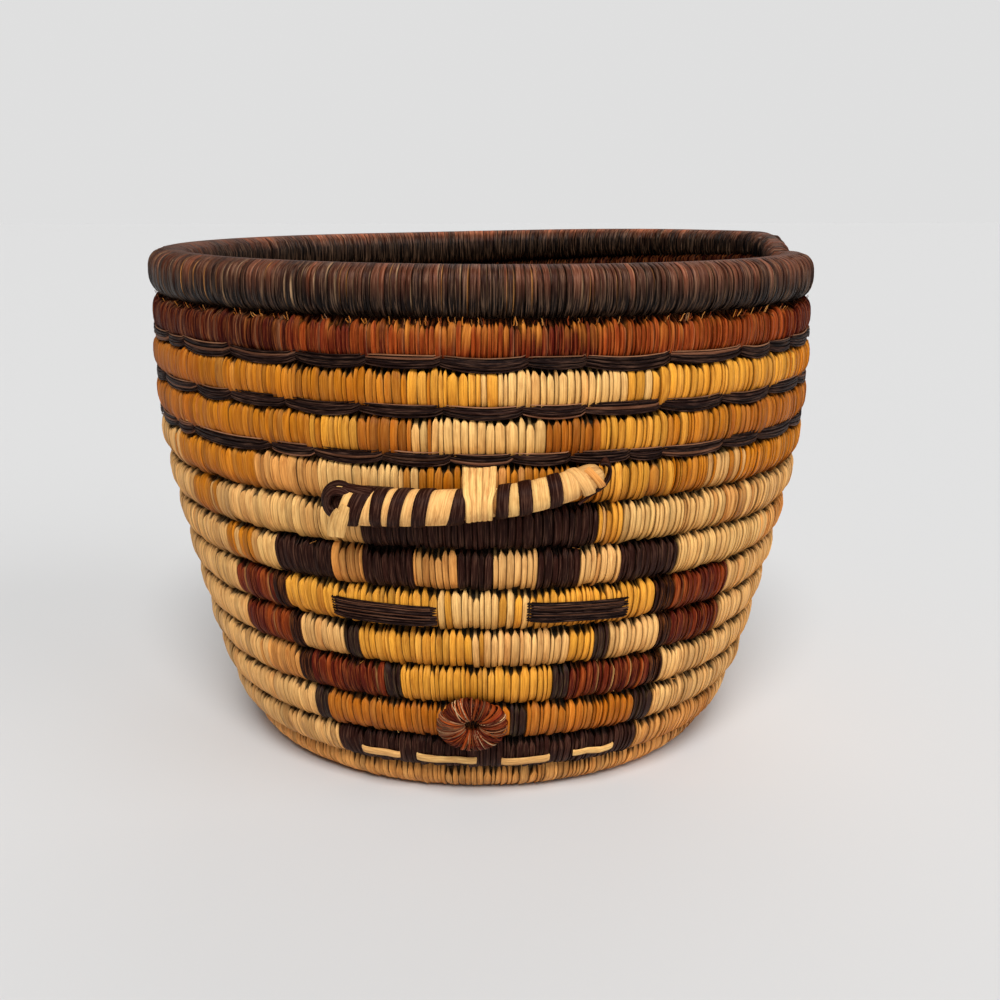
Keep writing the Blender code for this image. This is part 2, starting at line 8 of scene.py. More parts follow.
import bpy
import numpy as np
from mathutils import Euler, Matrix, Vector


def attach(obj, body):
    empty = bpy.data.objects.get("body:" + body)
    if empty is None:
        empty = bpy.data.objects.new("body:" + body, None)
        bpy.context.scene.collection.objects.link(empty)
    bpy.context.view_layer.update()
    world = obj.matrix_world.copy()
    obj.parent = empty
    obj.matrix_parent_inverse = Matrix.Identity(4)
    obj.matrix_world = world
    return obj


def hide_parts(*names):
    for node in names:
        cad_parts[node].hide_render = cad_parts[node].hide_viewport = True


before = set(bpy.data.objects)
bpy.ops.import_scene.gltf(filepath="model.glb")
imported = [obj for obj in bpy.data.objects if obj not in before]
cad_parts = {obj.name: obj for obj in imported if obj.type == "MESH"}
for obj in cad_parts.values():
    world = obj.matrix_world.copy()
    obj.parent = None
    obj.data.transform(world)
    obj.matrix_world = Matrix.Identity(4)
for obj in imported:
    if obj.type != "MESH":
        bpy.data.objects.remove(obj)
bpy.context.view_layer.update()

# The coil, as in the CAD model
COURSE_RADIUS = 0.00596
SECOND_RADIUS = COURSE_RADIUS - 0.00034
RIM_RADIUS = COURSE_RADIUS + 0.00034
RIM_END_RADIUS = 0.0023
START_RADIUS = 0.0030
SECTION_POWER = 2.5
SECTION_WIDTH = 1.04
COURSE_GAP = 0.0005
FIT = 0.0003
TURNS = 19
GROW_TURNS = 3.4
START_DISTANCE = 0.0060
SEAM_ANGLE = 90.0
LEVEL_SHARE = 0.12
CLIMB_START = 0.68
SETTLE_TURNS = 6
REST_FLAT = 0.0005
RAMP = 0.05                     # turns in which each of the last two courses reaches its thickness

# The outline of the wall, as in the CAD model
COURSE_PITCH = 2 * COURSE_RADIUS + COURSE_GAP
FLOOR_RADIUS = 0.0672
CORNER_LENGTH = 0.40 * COURSE_PITCH
FOOT_LEAN = 48.0
FOOT_FADE = 0.92 * COURSE_PITCH
WALL_LEAN = 12.6
RIM_LEAN = -0.4
SHOULDER_LOW = 5.72 * COURSE_PITCH
SHOULDER_HIGH = 10.80 * COURSE_PITCH
OUTLINE_STEP = 0.0001
PATH_STATIONS = 60              # in each turn

# The sewing, as in the CAD model
STITCH_WIDTH = 0.0024
LOWEST_PLAIN_TOP_COURSE = 5     # of the top ones
TOP_COURSES = (("rim", 1, "dark"), ("maroon_course", 2, "maroon"),
               ("upper_gold_course", 3, "gold"), ("lower_gold_course", 4, "gold"))
# Course, place of its left end in stitches from the middle, and its blocks, each of bands of stitches
FACE = (
    (6, -13, ((("black", 27),),)),
    (7, -25, ((("black", 8),), (("tan", 4),), (("black", 6),), (("tan", 5),), (("black", 4),),
              (("cream", 5),), (("black", 5),), (("cream", 5),), (("black", 8),))),
    (8, -33, ((("maroon", 7), ("black", 2)), (("yellow", 46),), (("black", 3), ("maroon", 10)))),
    (9, -32, ((("maroon", 8), ("black", 2)), (("cream", 6), ("black", 2)), (("yellow", 28),),
              (("black", 2), ("cream", 7)), (("black", 2), ("maroon", 9)))),
    (10, -23, ((("black", 2), ("maroon", 10)), (("black", 2), ("yellow", 18), ("black", 2)),
               (("maroon", 11), ("black", 2)))),
    (11, -21, ((("black", 2), ("gold", 23), ("black", 2), ("gold", 14), ("black", 3)),)),
    (12, -18, ((("black", 39),),)),
)

# Shades of the splints, sRGB 0-255. Edge and shine also colour painted highlights
SHADES = {
    "ivory": (252, 199, 122), "cream": (244, 187, 114), "tan": (226, 154, 78),
    "gold": (204, 122, 10), "amber": (184, 102, 10), "yellow": (236, 162, 50),
    "maroon": (90, 24, 11), "rust": (148, 62, 20), "brick": (112, 38, 14), "flame": (226, 140, 52),
    "wine": (66, 14, 7), "ochre": (188, 104, 6), "black": (43, 17, 10), "soot": (27, 10, 7),
    "dark": (86, 48, 32), "edge": (140, 96, 68), "umber": (104, 66, 46), "shine": (204, 164, 122),
    "grass": (120, 76, 30),
}
# Paler and darker stretches of the courses outside the face: first stitch, the stitch after the
# last and shade, counted from the middle of the face to the right
PATCHES = {
    2: ((-300, -22, "wine"), (-9, 4, "rust"), (13, 42, "rust"), (60, 300, "wine")),
    3: ((-300, -36, "amber"), (-36, -6, "gold"), (-6, 1, "yellow"), (1, 18, "ivory"),
        (18, 46, "yellow"), (46, 60, "gold"), (60, 300, "amber")),
    4: ((-300, -37, "amber"), (-37, -19, "gold"), (-19, -12, "yellow"), (-12, -6, "amber"),
        (-6, 7, "ivory"), (7, 12, "amber"), (12, 23, "yellow"), (23, 33, "gold"), (33, 300, "amber")),
    5: ((-44, -26, "gold"), (-26, -17, "tan"), (-17, -7, "ivory"), (-7, -2, "gold"), (-2, 4, "tan"),
        (4, 15, "gold"), (15, 23, "yellow"), (23, 29, "gold"), (29, 33, "cream"), (33, 60, "gold")),
    6: ((-41, -36, "gold"), (-36, -26, "cream"), (-26, -14, "ivory"), (13, 17, "yellow"),
        (17, 31, "ivory"), (31, 37, "tan"), (37, 70, "cream")),
    7: ((-33, -28, "gold"), (-28, -25, "ivory"), (23, 44, "ivory"), (44, 70, "tan")),
    8: ((33, 60, "cream"),),
    10: ((-29, -23, "tan"),),
    12: ((20, 40, "tan"),),
    13: ((-300, 300, "tan"),),
}
# The same in the yellow and the gold stitches of the face
FACE_PATCHES = {8: ((-2, 3, "ivory"),), 9: ((1, 11, "cream"),), 11: ((-300, 300, "ochre"),)}
PALE_EDGES = (16.4, 19.0)       # maroon stitches of the tenth course that have a nearly white edge

# Shape of the stitches. A column is a place across a stitch, as a part of its half width, with its
# height over the stitch's middle surface and its painted shade: dark in the grooves between stitches,
# darker on one side, and on the rim a painted highlight near one edge
COLUMNS = ((-1.0, -0.00032, 0.13), (-0.82, 0.00000, 0.82), (0.0, 0.00006, 1.0), (0.82, 0.00003, 1.02),
           (1.0, -0.00032, 0.26))
RIM_COLUMNS = ((-1.0, -0.00032, 0.04), (-0.72, 0.00006, 1.20), (-0.46, 0.00006, 1.0),
               (0.70, 0.00002, 0.92), (1.0, -0.00032, 0.05))
WALL_ANGLES = (-88, -78, -69, -60, -50, -38, -25, -12, 0, 12, 24, 33, 41, 49, 57, 65, 74,
               95, 120, 150, 180, 210, 238, 260)
FLOOR_ANGLES = (-80, -55, -35, -15, 5, 25, 42, 58, 75, 105, 135, 165, 195, 225, 252)
RIM_SECTION_TURN = 15           # degrees that the rim's angles lie lower than the wall's
LIGHTEST = 0.94                 # linear, of any splint
SQUARENESS = 0.76               # 1 makes a round section, less makes it squarer
PRESSED = 0.00025               # that a course swells to touch its neighbours
TIP_START = (0.38, 0.75)        # height, as a part of the section, where a stitch starts to narrow
TIP_LENGTH = (0.16, 0.32)       # height in which it narrows
TIP_WIDTH = (0.22, 0.68)        # width left at its tip
PAST_TIP = (-0.03, 0.07)        # heights over its tip in which it dives into the coil
TIP_SINK = 0.0005               # that it dives
TOP_TIPS = 0.14                 # that the tips lie lower in the top courses
FOOT_TIPS = 0.26                # that they lie higher at the foot
FOOT_LEANS = (18, 38)           # degrees that the wall leans out there
SEALED_HEIGHTS = (0.90, 0.98)   # where a stitch swells onto the neighbouring courses
SEALED = 0.00025                # that it swells there
CLOSED = (0.93, 0.99)           # heights between which the gaps close against the course above
HOLE_DEPTH = 0.0012             # of the gaps between the tips
NARROW_FEET = (0.62, 0.98)      # depths in which a stitch narrows a little at its foot
FOOT_NARROWING = 0.12
SLANT = 0.20                    # usual lean of a stitch, as a part of its half width
SWAY = 0.14                     # the same of its tip alone
TILT = 0.00010                  # that one side of it stands over the other
PUFF = 0.00009                  # usual difference in height between stitches
HANG = 0.0008                   # that the lower ends of the stitches reach over the course below
HANG_ANGLE = -60.0
HANG_SPREAD = 22.0
SEWN_WIDTH = 0.0018             # of the stitches as sewn, without the slack between them
COURSE_WIDTHS = {1: 0.0016, 2: 0.0014, 3: 0.0020, 4: 0.0020}   # of the stitches of the top courses
WIDTH_SPREAD = 0.15             # of single stitches, as a part of their width
WIDTH_LIMITS = (0.6, 1.5)
NARROW_STITCHES = (0.20, 0.55)  # share of the stitches that are narrower, and by what factor
WIDE_STITCHES = (0.12, 1.4)     # the same of the wider ones
LAYOUT_STEPS = 800              # in which a band is measured
RIM_END_SWELL = 0.0016          # that the rim's end is thicker than in the CAD model
RIM_END_TURNS = 0.24            # in which it grows so
RIM_DROP_TURNS = 0.050          # in which the end drops behind the start of the rim
RIM_DROP = 0.0062
RIM_DROP_INWARDS = 0.0022
RIM_END_ROUND = 0.009           # turns in which the end is rounded off

# Colours of the stitches. A mix has the shades and how often each comes
MAROON_MIX = (("maroon", "brick", "rust"), (0.50, 0.32, 0.18))
PATCH_BLUR = 1.3                # stitches by which the edge of a patch varies
LIGHTNESS_SPREAD = 0.16
DRIFT = 0.05                    # of the lightness from each stitch to the next
DRIFT_LIMIT = 0.12
PALE = 0.12                     # linear, from which on a splint is bleached or stained
BLEACH = (0.06, 0.13, 0.45)     # mean, spread and most of it
STAIN = (-0.10, 0.22, 0.5)      # the same
SATURATED_BLEACH = 0.3          # that the strongly coloured ones have of it
SIDE_TONE = 0.10                # usual difference between the two sides of a stitch
FOOT_SHADE_DEPTHS = (0.38, 0.94)           # depths in which a painted shade darkens it towards its foot
FOOT_SHADE_LOSS = 0.55             # of its colour that is lost there
LOW_SHADE_HEIGHTS = (0.30, -0.80)            # heights in which a painted shade makes it darker and warmer downwards
LOW_SHADE_LOSS = (0.10, 0.24, 0.46)     # of its red, green and blue that is lost there
PALE_EDGE_SHARE = 0.12          # of the maroon stitches in the face
INSIDE_END = (300, 270)         # angles where the painted shade of the inner side ends, under the coil
INSIDE_OF_RIM = (122, 148)      # angles where it starts
INSIDE_OF_MAROON = (95, 120)
UNDER_RIM = (0.62, -0.33)       # heights in which painted shade darkens the rim downwards
CREST_OF_RIM = (102, 30)        # middle and spread of the painted light on its crest at the back, in degrees

# Sections of a splint, as parts of its half width and its thickness
SPLINT_PROFILE = ((-1.0, 0.0), (-0.86, 0.78), (-0.35, 1.0), (0.35, 1.0), (0.86, 0.78), (1.0, 0.0),
                  (0.6, -0.4), (-0.6, -0.4))
ROUND_PROFILE = tuple((math.cos(math.pi * k / 4), math.sin(math.pi * k / 4)) for k in range(8))

UPWARDS = np.array((0.0, 0.0, 1.0))
GRAIN = 1000                    # units of the grain in a metre
GRAIN_OFFSET = 900              # largest random offset of a splint's grain
SHARP_ANGLE = 60.0              # from which on an edge is drawn sharp


def rise(x, low, high):
    """A smooth step from 0 at low to 1 at high. High may be the smaller one."""
    q = np.clip((x - low) / (high - low), 0.0, 1.0)
    return q * q * (3 - 2 * q)


def bell(x, middle, spread):
    """1 in the middle, fading on both sides."""
    return np.exp(-((x - middle) / spread) ** 2)


def linear(shade):
    """Linear colour of a named shade."""
    c = np.array(SHADES[shade]) / 255
    return np.where(c <= 0.04045, c / 12.92, ((c + 0.055) / 1.055) ** 2.4)


def pick(rng, shades, chances):
    return shades[rng.choice(len(shades), p=chances)]


# The coil's path

def trace_outline():
    """Follow the floor and the wall through the middles of the courses, as the CAD model does."""
    longest = (TURNS + 2) * 2 * max(COURSE_RADIUS + COURSE_GAP, RIM_RADIUS)
    corner_end = FLOOR_RADIUS + CORNER_LENGTH
    radius, height = 0.0, COURSE_RADIUS - REST_FLAT
    rows = []
    for step in range(int(longest / OUTLINE_STEP)):
        along = step * OUTLINE_STEP
        if along < corner_end:
            lean = 90 + (FOOT_LEAN - 90) * max(along - FLOOR_RADIUS, 0) / CORNER_LENGTH
        else:
            upright = rise(height, SHOULDER_LOW, SHOULDER_HIGH)
            foot = math.exp(-(along - corner_end) / FOOT_FADE)
            lean = WALL_LEAN + (RIM_LEAN - WALL_LEAN) * upright + (FOOT_LEAN - WALL_LEAN) * foot
        rows.append((along, radius, height, math.radians(lean)))
        radius += OUTLINE_STEP * math.sin(math.radians(lean))
        height += OUTLINE_STEP * math.cos(math.radians(lean))
    return np.array(rows)


def look_up(table, place):
    """The other columns of a table at a place, which is its first column."""
    return [np.interp(place, table[:, 0], column) for column in table.T[1:]]


OUTLINE = trace_outline()


def climb(part):
    return LEVEL_SHARE * part + (1 - LEVEL_SHARE) * rise(part, CLIMB_START, 1)


def thickness_at(turn):
    part = turn % 1
    if turn > TURNS - 1:
        taper = rise(turn - TURNS + 1, CLIMB_START, 1)
        ramp = min((turn - TURNS + 1) / RAMP, 1)
        return SECOND_RADIUS + (RIM_RADIUS - SECOND_RADIUS) * ramp + (RIM_END_RADIUS - RIM_RADIUS) * taper
    if turn > TURNS - 2:
        return COURSE_RADIUS + (SECOND_RADIUS - COURSE_RADIUS) * min((turn - TURNS + 2) / RAMP, 1)
    full = START_RADIUS + (COURSE_RADIUS - START_RADIUS) * min(turn / GROW_TURNS, 1)
    if turn >= SETTLE_TURNS:
        return full
    return full - COURSE_PITCH * (part - climb(part)) / (2 * SETTLE_TURNS)


def next_course(along, distance):
    """Place on the outline that lies this distance, in a straight line, from an earlier place."""
    radius, height, _ = look_up(OUTLINE, along)
    low, high = along + 0.5 * distance, along + 2 * distance
    while high - low > OUTLINE_STEP / 1000:
        middle = (low + high) / 2
        far_radius, far_height, _ = look_up(OUTLINE, middle)
        if math.hypot(far_radius - radius, far_height - height) < distance:
            low = middle
        else:
            high = middle
    return low


def wind_coil():
    """Rows of turn, radius, height, lean and thickness along the coil."""
    rows, places = [], []
    for index in range(TURNS * PATH_STATIONS + 1):
        turn = index / PATH_STATIONS
        thick = thickness_at(turn)
        if turn < 1:
            along = START_DISTANCE + (START_RADIUS + thickness_at(1) + COURSE_GAP) * turn
        else:
            along = next_course(places[index - PATH_STATIONS], thickness_at(turn - 1) + thick + COURSE_GAP)
        places.append(along)
        radius, height, lean = look_up(OUTLINE, along)
        if turn < SETTLE_TURNS:
            height += thick - COURSE_RADIUS
        rows.append((turn, radius, height, lean, thick))
    return np.array(rows)


PATH = wind_coil()


def path_at(turn):
    """Radius, height, lean and thickness of the coil at these turns."""
    return look_up(PATH, turn)


def turn_of(course, front_angle=0.0):
    return TURNS - course + (SEAM_ANGLE - front_angle) / 360


def stitch_turns(course, stitches):
    radius, _, _, thick = path_at(turn_of(course))
    return stitches * STITCH_WIDTH / (2 * math.pi * (radius + thick))


def stitch_turn(course, stitches):
    """Place on the coil that lies this many stitches to the right of the middle of the face."""
    return turn_of(course) - stitch_turns(course, stitches)


def on_azimuth(front_angle, radius, height):
    a = np.radians(front_angle)
    return np.stack(np.broadcast_arrays(radius * np.sin(a), -radius * np.cos(a), height), -1)


def beside(turn, radius, height, lean, out, up):
    """Points of an upright section: out from the wall and up along it."""
    ring = radius + out * np.cos(lean) + up * np.sin(lean)
    level = height - out * np.sin(lean) + up * np.cos(lean)
    return on_azimuth(SEAM_ANGLE - 360 * turn, ring, np.maximum(level, 0.0))


def beside_coil(turn, out, up):
    radius, height, lean, _ = path_at(turn)
    return beside(turn, radius, height, lean, out, up)


def beside_crease(turn, out, up):
    """Points beside the crease over this place on the coil, from halfway to the next course."""
    low_radius, low_height, _, _ = path_at(turn)
    high_radius, high_height, _, _ = path_at(turn + 1)
    lean = np.arctan2(high_radius - low_radius, high_height - low_height)
    return beside(turn, (low_radius + high_radius) / 2, (low_height + high_height) / 2, lean, out, up)


# Meshes

def unit(vectors):
    return vectors / np.linalg.norm(vectors, axis=-1, keepdims=True)


def grain_for(points, across, along, offset=0.0):
    """Coordinates of the splints' grain, for the materials."""
    return np.stack(np.broadcast_arrays(across, along, offset, points[..., 0])[:3], -1)


class Skin:
    """Closed tubes through grids of points, collected into one mesh with a colour and a grain."""

    def __init__(self, rng):
        self.rng = rng
        self.points, self.tints, self.grains, self.loops, self.starts = [], [], [], [], []
        self.count = 0
        self.loop_count = 0

    def add_faces(self, faces):
        self.loops.append(faces.ravel() + self.count)
        self.starts.append(self.loop_count + np.arange(len(faces)) * faces.shape[1])
        self.loop_count += faces.size

    def add_tube(self, points, tint, grain, ring=False):
        """Rings of points, each closed. The tube ends in flat faces, or else meets itself in a ring."""
        rings, sides = points.shape[:2]
        index = np.arange(rings * sides).reshape(rings, sides)
        after = np.roll(index, -1, axis=1)
        quads = np.stack([index, after, np.roll(after, -1, axis=0), np.roll(index, -1, axis=0)], -1)
        quads = quads[:rings if ring else -1].reshape(-1, 4)
        caps = np.stack([index[0][::-1], index[-1]])
        flat = points.reshape(-1, 3)
        a, b, c, d = [flat[quads[:, k]] - flat.mean(0) for k in range(4)]
        if (a * (np.cross(b, c) + np.cross(c, d))).sum() < 0:
            quads, caps = quads[:, ::-1], caps[:, ::-1]
        self.add_faces(quads)
        if not ring:
            self.add_faces(caps)
        self.points.append(flat)
        self.tints.append(np.broadcast_to(tint, points.shape).reshape(-1, 3))
        self.grains.append(np.broadcast_to(grain, points.shape).reshape(-1, 3))
        self.count += rings * sides

    def add_ribbon(self, line, outward, half_width, thick, shade, profile=SPLINT_PROFILE, tone=0.08):
        """A flat splint along a line of points. Its broad side faces outward."""
        along = unit(np.gradient(line, axis=0))
        outward = unit(outward - along * (outward * along).sum(-1, keepdims=True))
        side = np.cross(outward, along)
        wide, high = np.array(profile).T[:, :, None]
        half_width, thick = [np.broadcast_to(size, len(line))[:, None, None] for size in (half_width, thick)]
        points = line[:, None] + side[:, None] * wide * half_width + outward[:, None] * high * thick
        length = np.concatenate([[0], np.cumsum(np.linalg.norm(np.diff(line, axis=0), axis=1))])
        grain = grain_for(points, wide[:, 0] * half_width[..., 0] * GRAIN, length[:, None] * GRAIN,
                          self.rng.uniform(0, GRAIN_OFFSET))
        # painted shade on the rounded edges of the splint
        edge = 1 - 0.22 * np.abs(wide) ** 3
        tint = linear(shade) * np.exp(self.rng.normal(0, tone)) * edge
        self.add_tube(points, tint, grain)

    def build(self, name, slot, *nodes):
        mesh = bpy.data.meshes.new(name)
        loops = np.concatenate(self.loops)
        starts = np.concatenate(self.starts)
        tints = np.concatenate([np.concatenate(self.tints), np.ones((self.count, 1))], 1)
        mesh.vertices.add(self.count)
        mesh.vertices.foreach_set("co", np.concatenate(self.points).astype(np.float32).ravel())
        mesh.loops.add(len(loops))
        mesh.loops.foreach_set("vertex_index", loops.astype(np.int32))
        mesh.polygons.add(len(starts))
        mesh.polygons.foreach_set("loop_start", starts.astype(np.int32))
        mesh.update(calc_edges=True)
        mesh.attributes.new("tint", "FLOAT_COLOR", "POINT").data.foreach_set(
            "color", np.clip(tints, 0, 1).astype(np.float32).ravel())
        mesh.attributes.new("grain", "FLOAT_VECTOR", "POINT").data.foreach_set(
            "vector", np.concatenate(self.grains).astype(np.float32).ravel())
        mesh.shade_smooth()
        mesh.set_sharp_from_angle(angle=math.radians(SHARP_ANGLE))
        mesh.materials.append(material_for(slot))
        piece = bpy.data.objects.new(name, mesh)
        bpy.context.scene.collection.objects.link(piece)
        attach(piece, "root")
        if nodes:
            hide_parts(*nodes)


# Materials

DARK_STREAKS = (0.42, 0.30, 0.22)
STAINS = (0.50, 0.32, 0.18)
FIBRE_RELIEF = 0.00012


def set_inputs(node, inputs):
    """Give each of these inputs its value, or link it to another node's output."""
    for name, value in inputs.items():
        if isinstance(value, bpy.types.NodeSocket):
            node.id_data.links.new(value, node.inputs[name])
        else:
            node.inputs[name].default_value = value


def make_splint_material(name, roughness, streak, stain, relief, gloss, glint):
    """Dried splint: the painted tint, with fine streaks along it, faint stains and a fibrous relief."""
    material = bpy.data.materials.new(name)
    material.use_nodes = True
    nodes = material.node_tree.nodes

    def add(kind, output, inputs, **settings):
        node = nodes.new(kind)
        for setting, value in settings.items():
            setattr(node, setting, value)
        set_inputs(node, inputs)
        return node.outputs[output]

    def noise(scale, detail):
        place = add("ShaderNodeMapping", "Vector", {"Scale": scale, "Vector": grain})
        return add("ShaderNodeTexNoise", "Fac", {"Vector": place, "Scale": 1.0, "Detail": detail,
                                                 "Roughness": 0.62})

    def ramp(value, low, high, at_low, at_high):
        return add("ShaderNodeMapRange", "Result", {"Value": value, "From Min": low, "From Max": high,
                                                    "To Min": at_low, "To Max": at_high})

    def mixed(blend, factor, first, second):
        return add("ShaderNodeMix", 2, {"Factor": factor, 6: first, 7: (*second, 1)},
                   data_type="RGBA", blend_type=blend)

    tint = add("ShaderNodeAttribute", "Color", {}, attribute_name="tint")
    grain = add("ShaderNodeAttribute", "Vector", {}, attribute_name="grain")
    streaks = noise((3.4, 0.16, 1.0), 4)
    blotches = noise((0.55, 0.22, 1.7), 2)
    fibres = noise((9.0, 0.35, 1.0), 2)
    colour = mixed("MULTIPLY", ramp(streaks, 0.42, 0.66, 0.0, streak), tint, DARK_STREAKS)
    colour = mixed("MULTIPLY", ramp(blotches, 0.50, 0.74, 0.0, stain), colour, STAINS)
    colour = mixed("SCREEN", ramp(streaks, 0.50, 0.30, 0.0, streak * 0.55), colour, glint)
    bump = add("ShaderNodeBump", "Normal", {"Strength": relief, "Distance": FIBRE_RELIEF, "Height": fibres})
    set_inputs(nodes["Principled BSDF"], {
        "Base Color": colour, "Specular IOR Level": gloss, "Normal": bump,
        "Roughness": ramp(fibres, 0.3, 0.7, roughness - 0.10, roughness + 0.12)})
    return material


# Material: roughness, streaks, stains, relief, gloss and glint in the pale streaks
PALE_MATERIAL = make_splint_material("pale_splint", 0.55, 0.65, 0.45, 0.60, 0.14, (0.20, 0.14, 0.05))
MATERIALS = {
    "maroon": make_splint_material("maroon_splint", 0.52, 0.90, 0.30, 0.80, 0.06, (0.42, 0.13, 0.03)),
    "black": make_splint_material("black_splint", 0.50, 0.60, 0.0, 0.90, 0.07, (0.26, 0.13, 0.08)),
    "dark": make_splint_material("dark_rim_splint", 0.45, 0.90, 0.15, 1.00, 0.12, (0.30, 0.17, 0.10)),
    "grass": make_splint_material("grass_bundle", 0.80, 0.70, 0.50, 1.00, 0.1, (0.20, 0.16, 0.11)),
}


def material_for(slot):
    return MATERIALS.get(slot, PALE_MATERIAL)


# The stitches

def shade_at(patches, course, stitch, shade):
    """The shade of a stitch: that of its patch, or else that of the stretch it is in."""
    for first, last, patch in patches.get(course, ()):
        if first <= stitch < last:
            return patch
    return shade


def lay_out_stitches(bands, start, width, rng):
    """Edges of the stitches in each band, in turns, and their shades."""
    first, last, shades = [], [], []
    for end, shade in bands:
        grid = np.linspace(start, end, LAYOUT_STEPS)
        radius, _, _, thick = path_at(grid)
        steps = np.diff(grid) * 2 * math.pi * (radius + thick * 0.9)[1:]
        length = np.concatenate([[0], np.cumsum(steps)])
        count = max(1, round(length[-1] / width))
        kind = rng.random(count)
        widths = rng.normal(1.0, WIDTH_SPREAD, count).clip(*WIDTH_LIMITS)
        widths[kind < NARROW_STITCHES[0]] *= NARROW_STITCHES[1]
        widths[kind > 1 - WIDE_STITCHES[0]] *= WIDE_STITCHES[1]
        edges = np.interp(np.concatenate([[0], np.cumsum(widths)]) / widths.sum() * length[-1], length, grid)
        first.append(edges[:-1])
        last.append(edges[1:])
        shades += [shade] * count
        start = end
    return np.concatenate(first), np.concatenate(last), shades


def stitch_colours(centres, shades, plain, rng):
    """Linear colours of the stitches, each a little unlike its neighbours."""
    colours = []
    drift = np.cumsum(rng.normal(0, DRIFT, len(centres)))
    drift -= np.linspace(0, drift[-1], len(centres))
    for turn, shade in zip(centres, shades):
        course = int(TURNS - math.floor(turn))
        if turn > SETTLE_TURNS and (plain or shade in ("yellow", "gold")):
            stitch = (turn_of(course) - turn) / stitch_turns(course, 1) + rng.normal(0, PATCH_BLUR)
            shade = shade_at(PATCHES if plain else FACE_PATCHES, course, stitch, shade)
        if shade == "maroon":
            shade = pick(rng, *MAROON_MIX)
        colours.append(linear(shade))
    colours = np.array(colours)
    drift = np.clip(drift, -DRIFT_LIMIT, DRIFT_LIMIT) * 0.6
    lightness = np.exp(rng.normal(0, LIGHTNESS_SPREAD, len(centres)) + drift)
    saturated = colours[:, 2] < 0.1 * colours[:, 0]
    for (mean, spread, most), shade, keep in ((BLEACH, "ivory", SATURATED_BLEACH), (STAIN, "amber", 1.0)):
        amount = np.clip(rng.normal(mean, spread, len(centres)), 0, most) * (colours.mean(1) > PALE)
        amount = amount * np.where(saturated, keep, 1.0)
        colours = colours + (linear(shade) - colours) * amount[:, None]
    return colours * np.minimum(lightness, LIGHTEST / colours.max(1))[:, None]


def section(angles, radius):
    """Out and up of a squarish section."""
    c, s = np.cos(np.radians(angles)), np.sin(np.radians(angles))
    return radius * np.sign(c) * np.abs(c) ** SQUARENESS, radius * np.sign(s) * np.abs(s) ** SQUARENESS


def follow(values, keep):
    """Make each value follow the one before it."""
    for index in range(1, len(values)):
        values[index] = keep * values[index - 1] + math.sqrt(1 - keep ** 2) * values[index]
    return values


def each(values):
    """Values of the stitches, shaped to go with the places across a stitch and round the coil."""
    return values[:, None, None]


def shape_stitches(first, last, angles, across, groove, rim, rng):
    """Points of the stitches, and at each height how far it is into the tip and beyond it."""
    count = len(first)
    middle, half = (first + last) / 2, (last - first) / 2
    height = np.sin(np.radians(angles))
    pointed = 0.0 if rim else 1.0
    foot = rise(np.degrees(path_at(middle)[2]), *FOOT_LEANS)
    low_tips = middle > TURNS - LOWEST_PLAIN_TOP_COURSE
    tip_start = each(rng.uniform(*TIP_START, count) - TOP_TIPS * low_tips + FOOT_TIPS * foot)
    tip_end = tip_start + each(rng.uniform(*TIP_LENGTH, count))
    tips = rise(height, tip_start, tip_end) * pointed
    beyond = rise(height - tip_end, *PAST_TIP) * pointed
    width = 1 - tips * (1 - each(rng.uniform(*TIP_WIDTH, count)))
    width = width - FOOT_NARROWING * rise(-height, *NARROW_FEET)
    slant = each(follow(rng.normal(0, SLANT, count), 0.6))
    shift = slant * height + each(rng.normal(0, SWAY, count)) * tips
    turn = each(middle) + each(half) * (across * width * 0.99 + shift * (1 - 0.3 * np.abs(across)))
    turn = np.clip(turn, first[0], last[-1])

    edge = (np.abs(across) == 1).astype(float)
    tilt = each(rng.normal(TILT, TILT, count)) * across * (1 - edge)
    lift = groove + tilt + each(rng.normal(0, PUFF, count))
    closed = 1 - rise(height, *CLOSED)
    lift = lift - HOLE_DEPTH * edge * tips * closed - TIP_SINK * (1 - edge) * beyond * closed
    pressed = rise(np.abs(height), *SEALED_HEIGHTS)
    lift = lift * (1 - pressed) + SEALED * pressed
    thick = path_at(turn)[3]
    out, up = section(angles, thick + PRESSED + lift)
    if rim:
        out, up = shape_rim_end(turn, thick, out, up)
    hang = HANG * each(rng.uniform(0.2, 1.4, count)) * (1 - 0.55 * edge) * (0.4 if rim else 1.0)
    swell = bell(angles, HANG_ANGLE, HANG_SPREAD) + 0.6 * bell(angles, 180 - HANG_ANGLE, HANG_SPREAD)
    return beside_coil(turn, out, up - hang * swell), tips, beyond


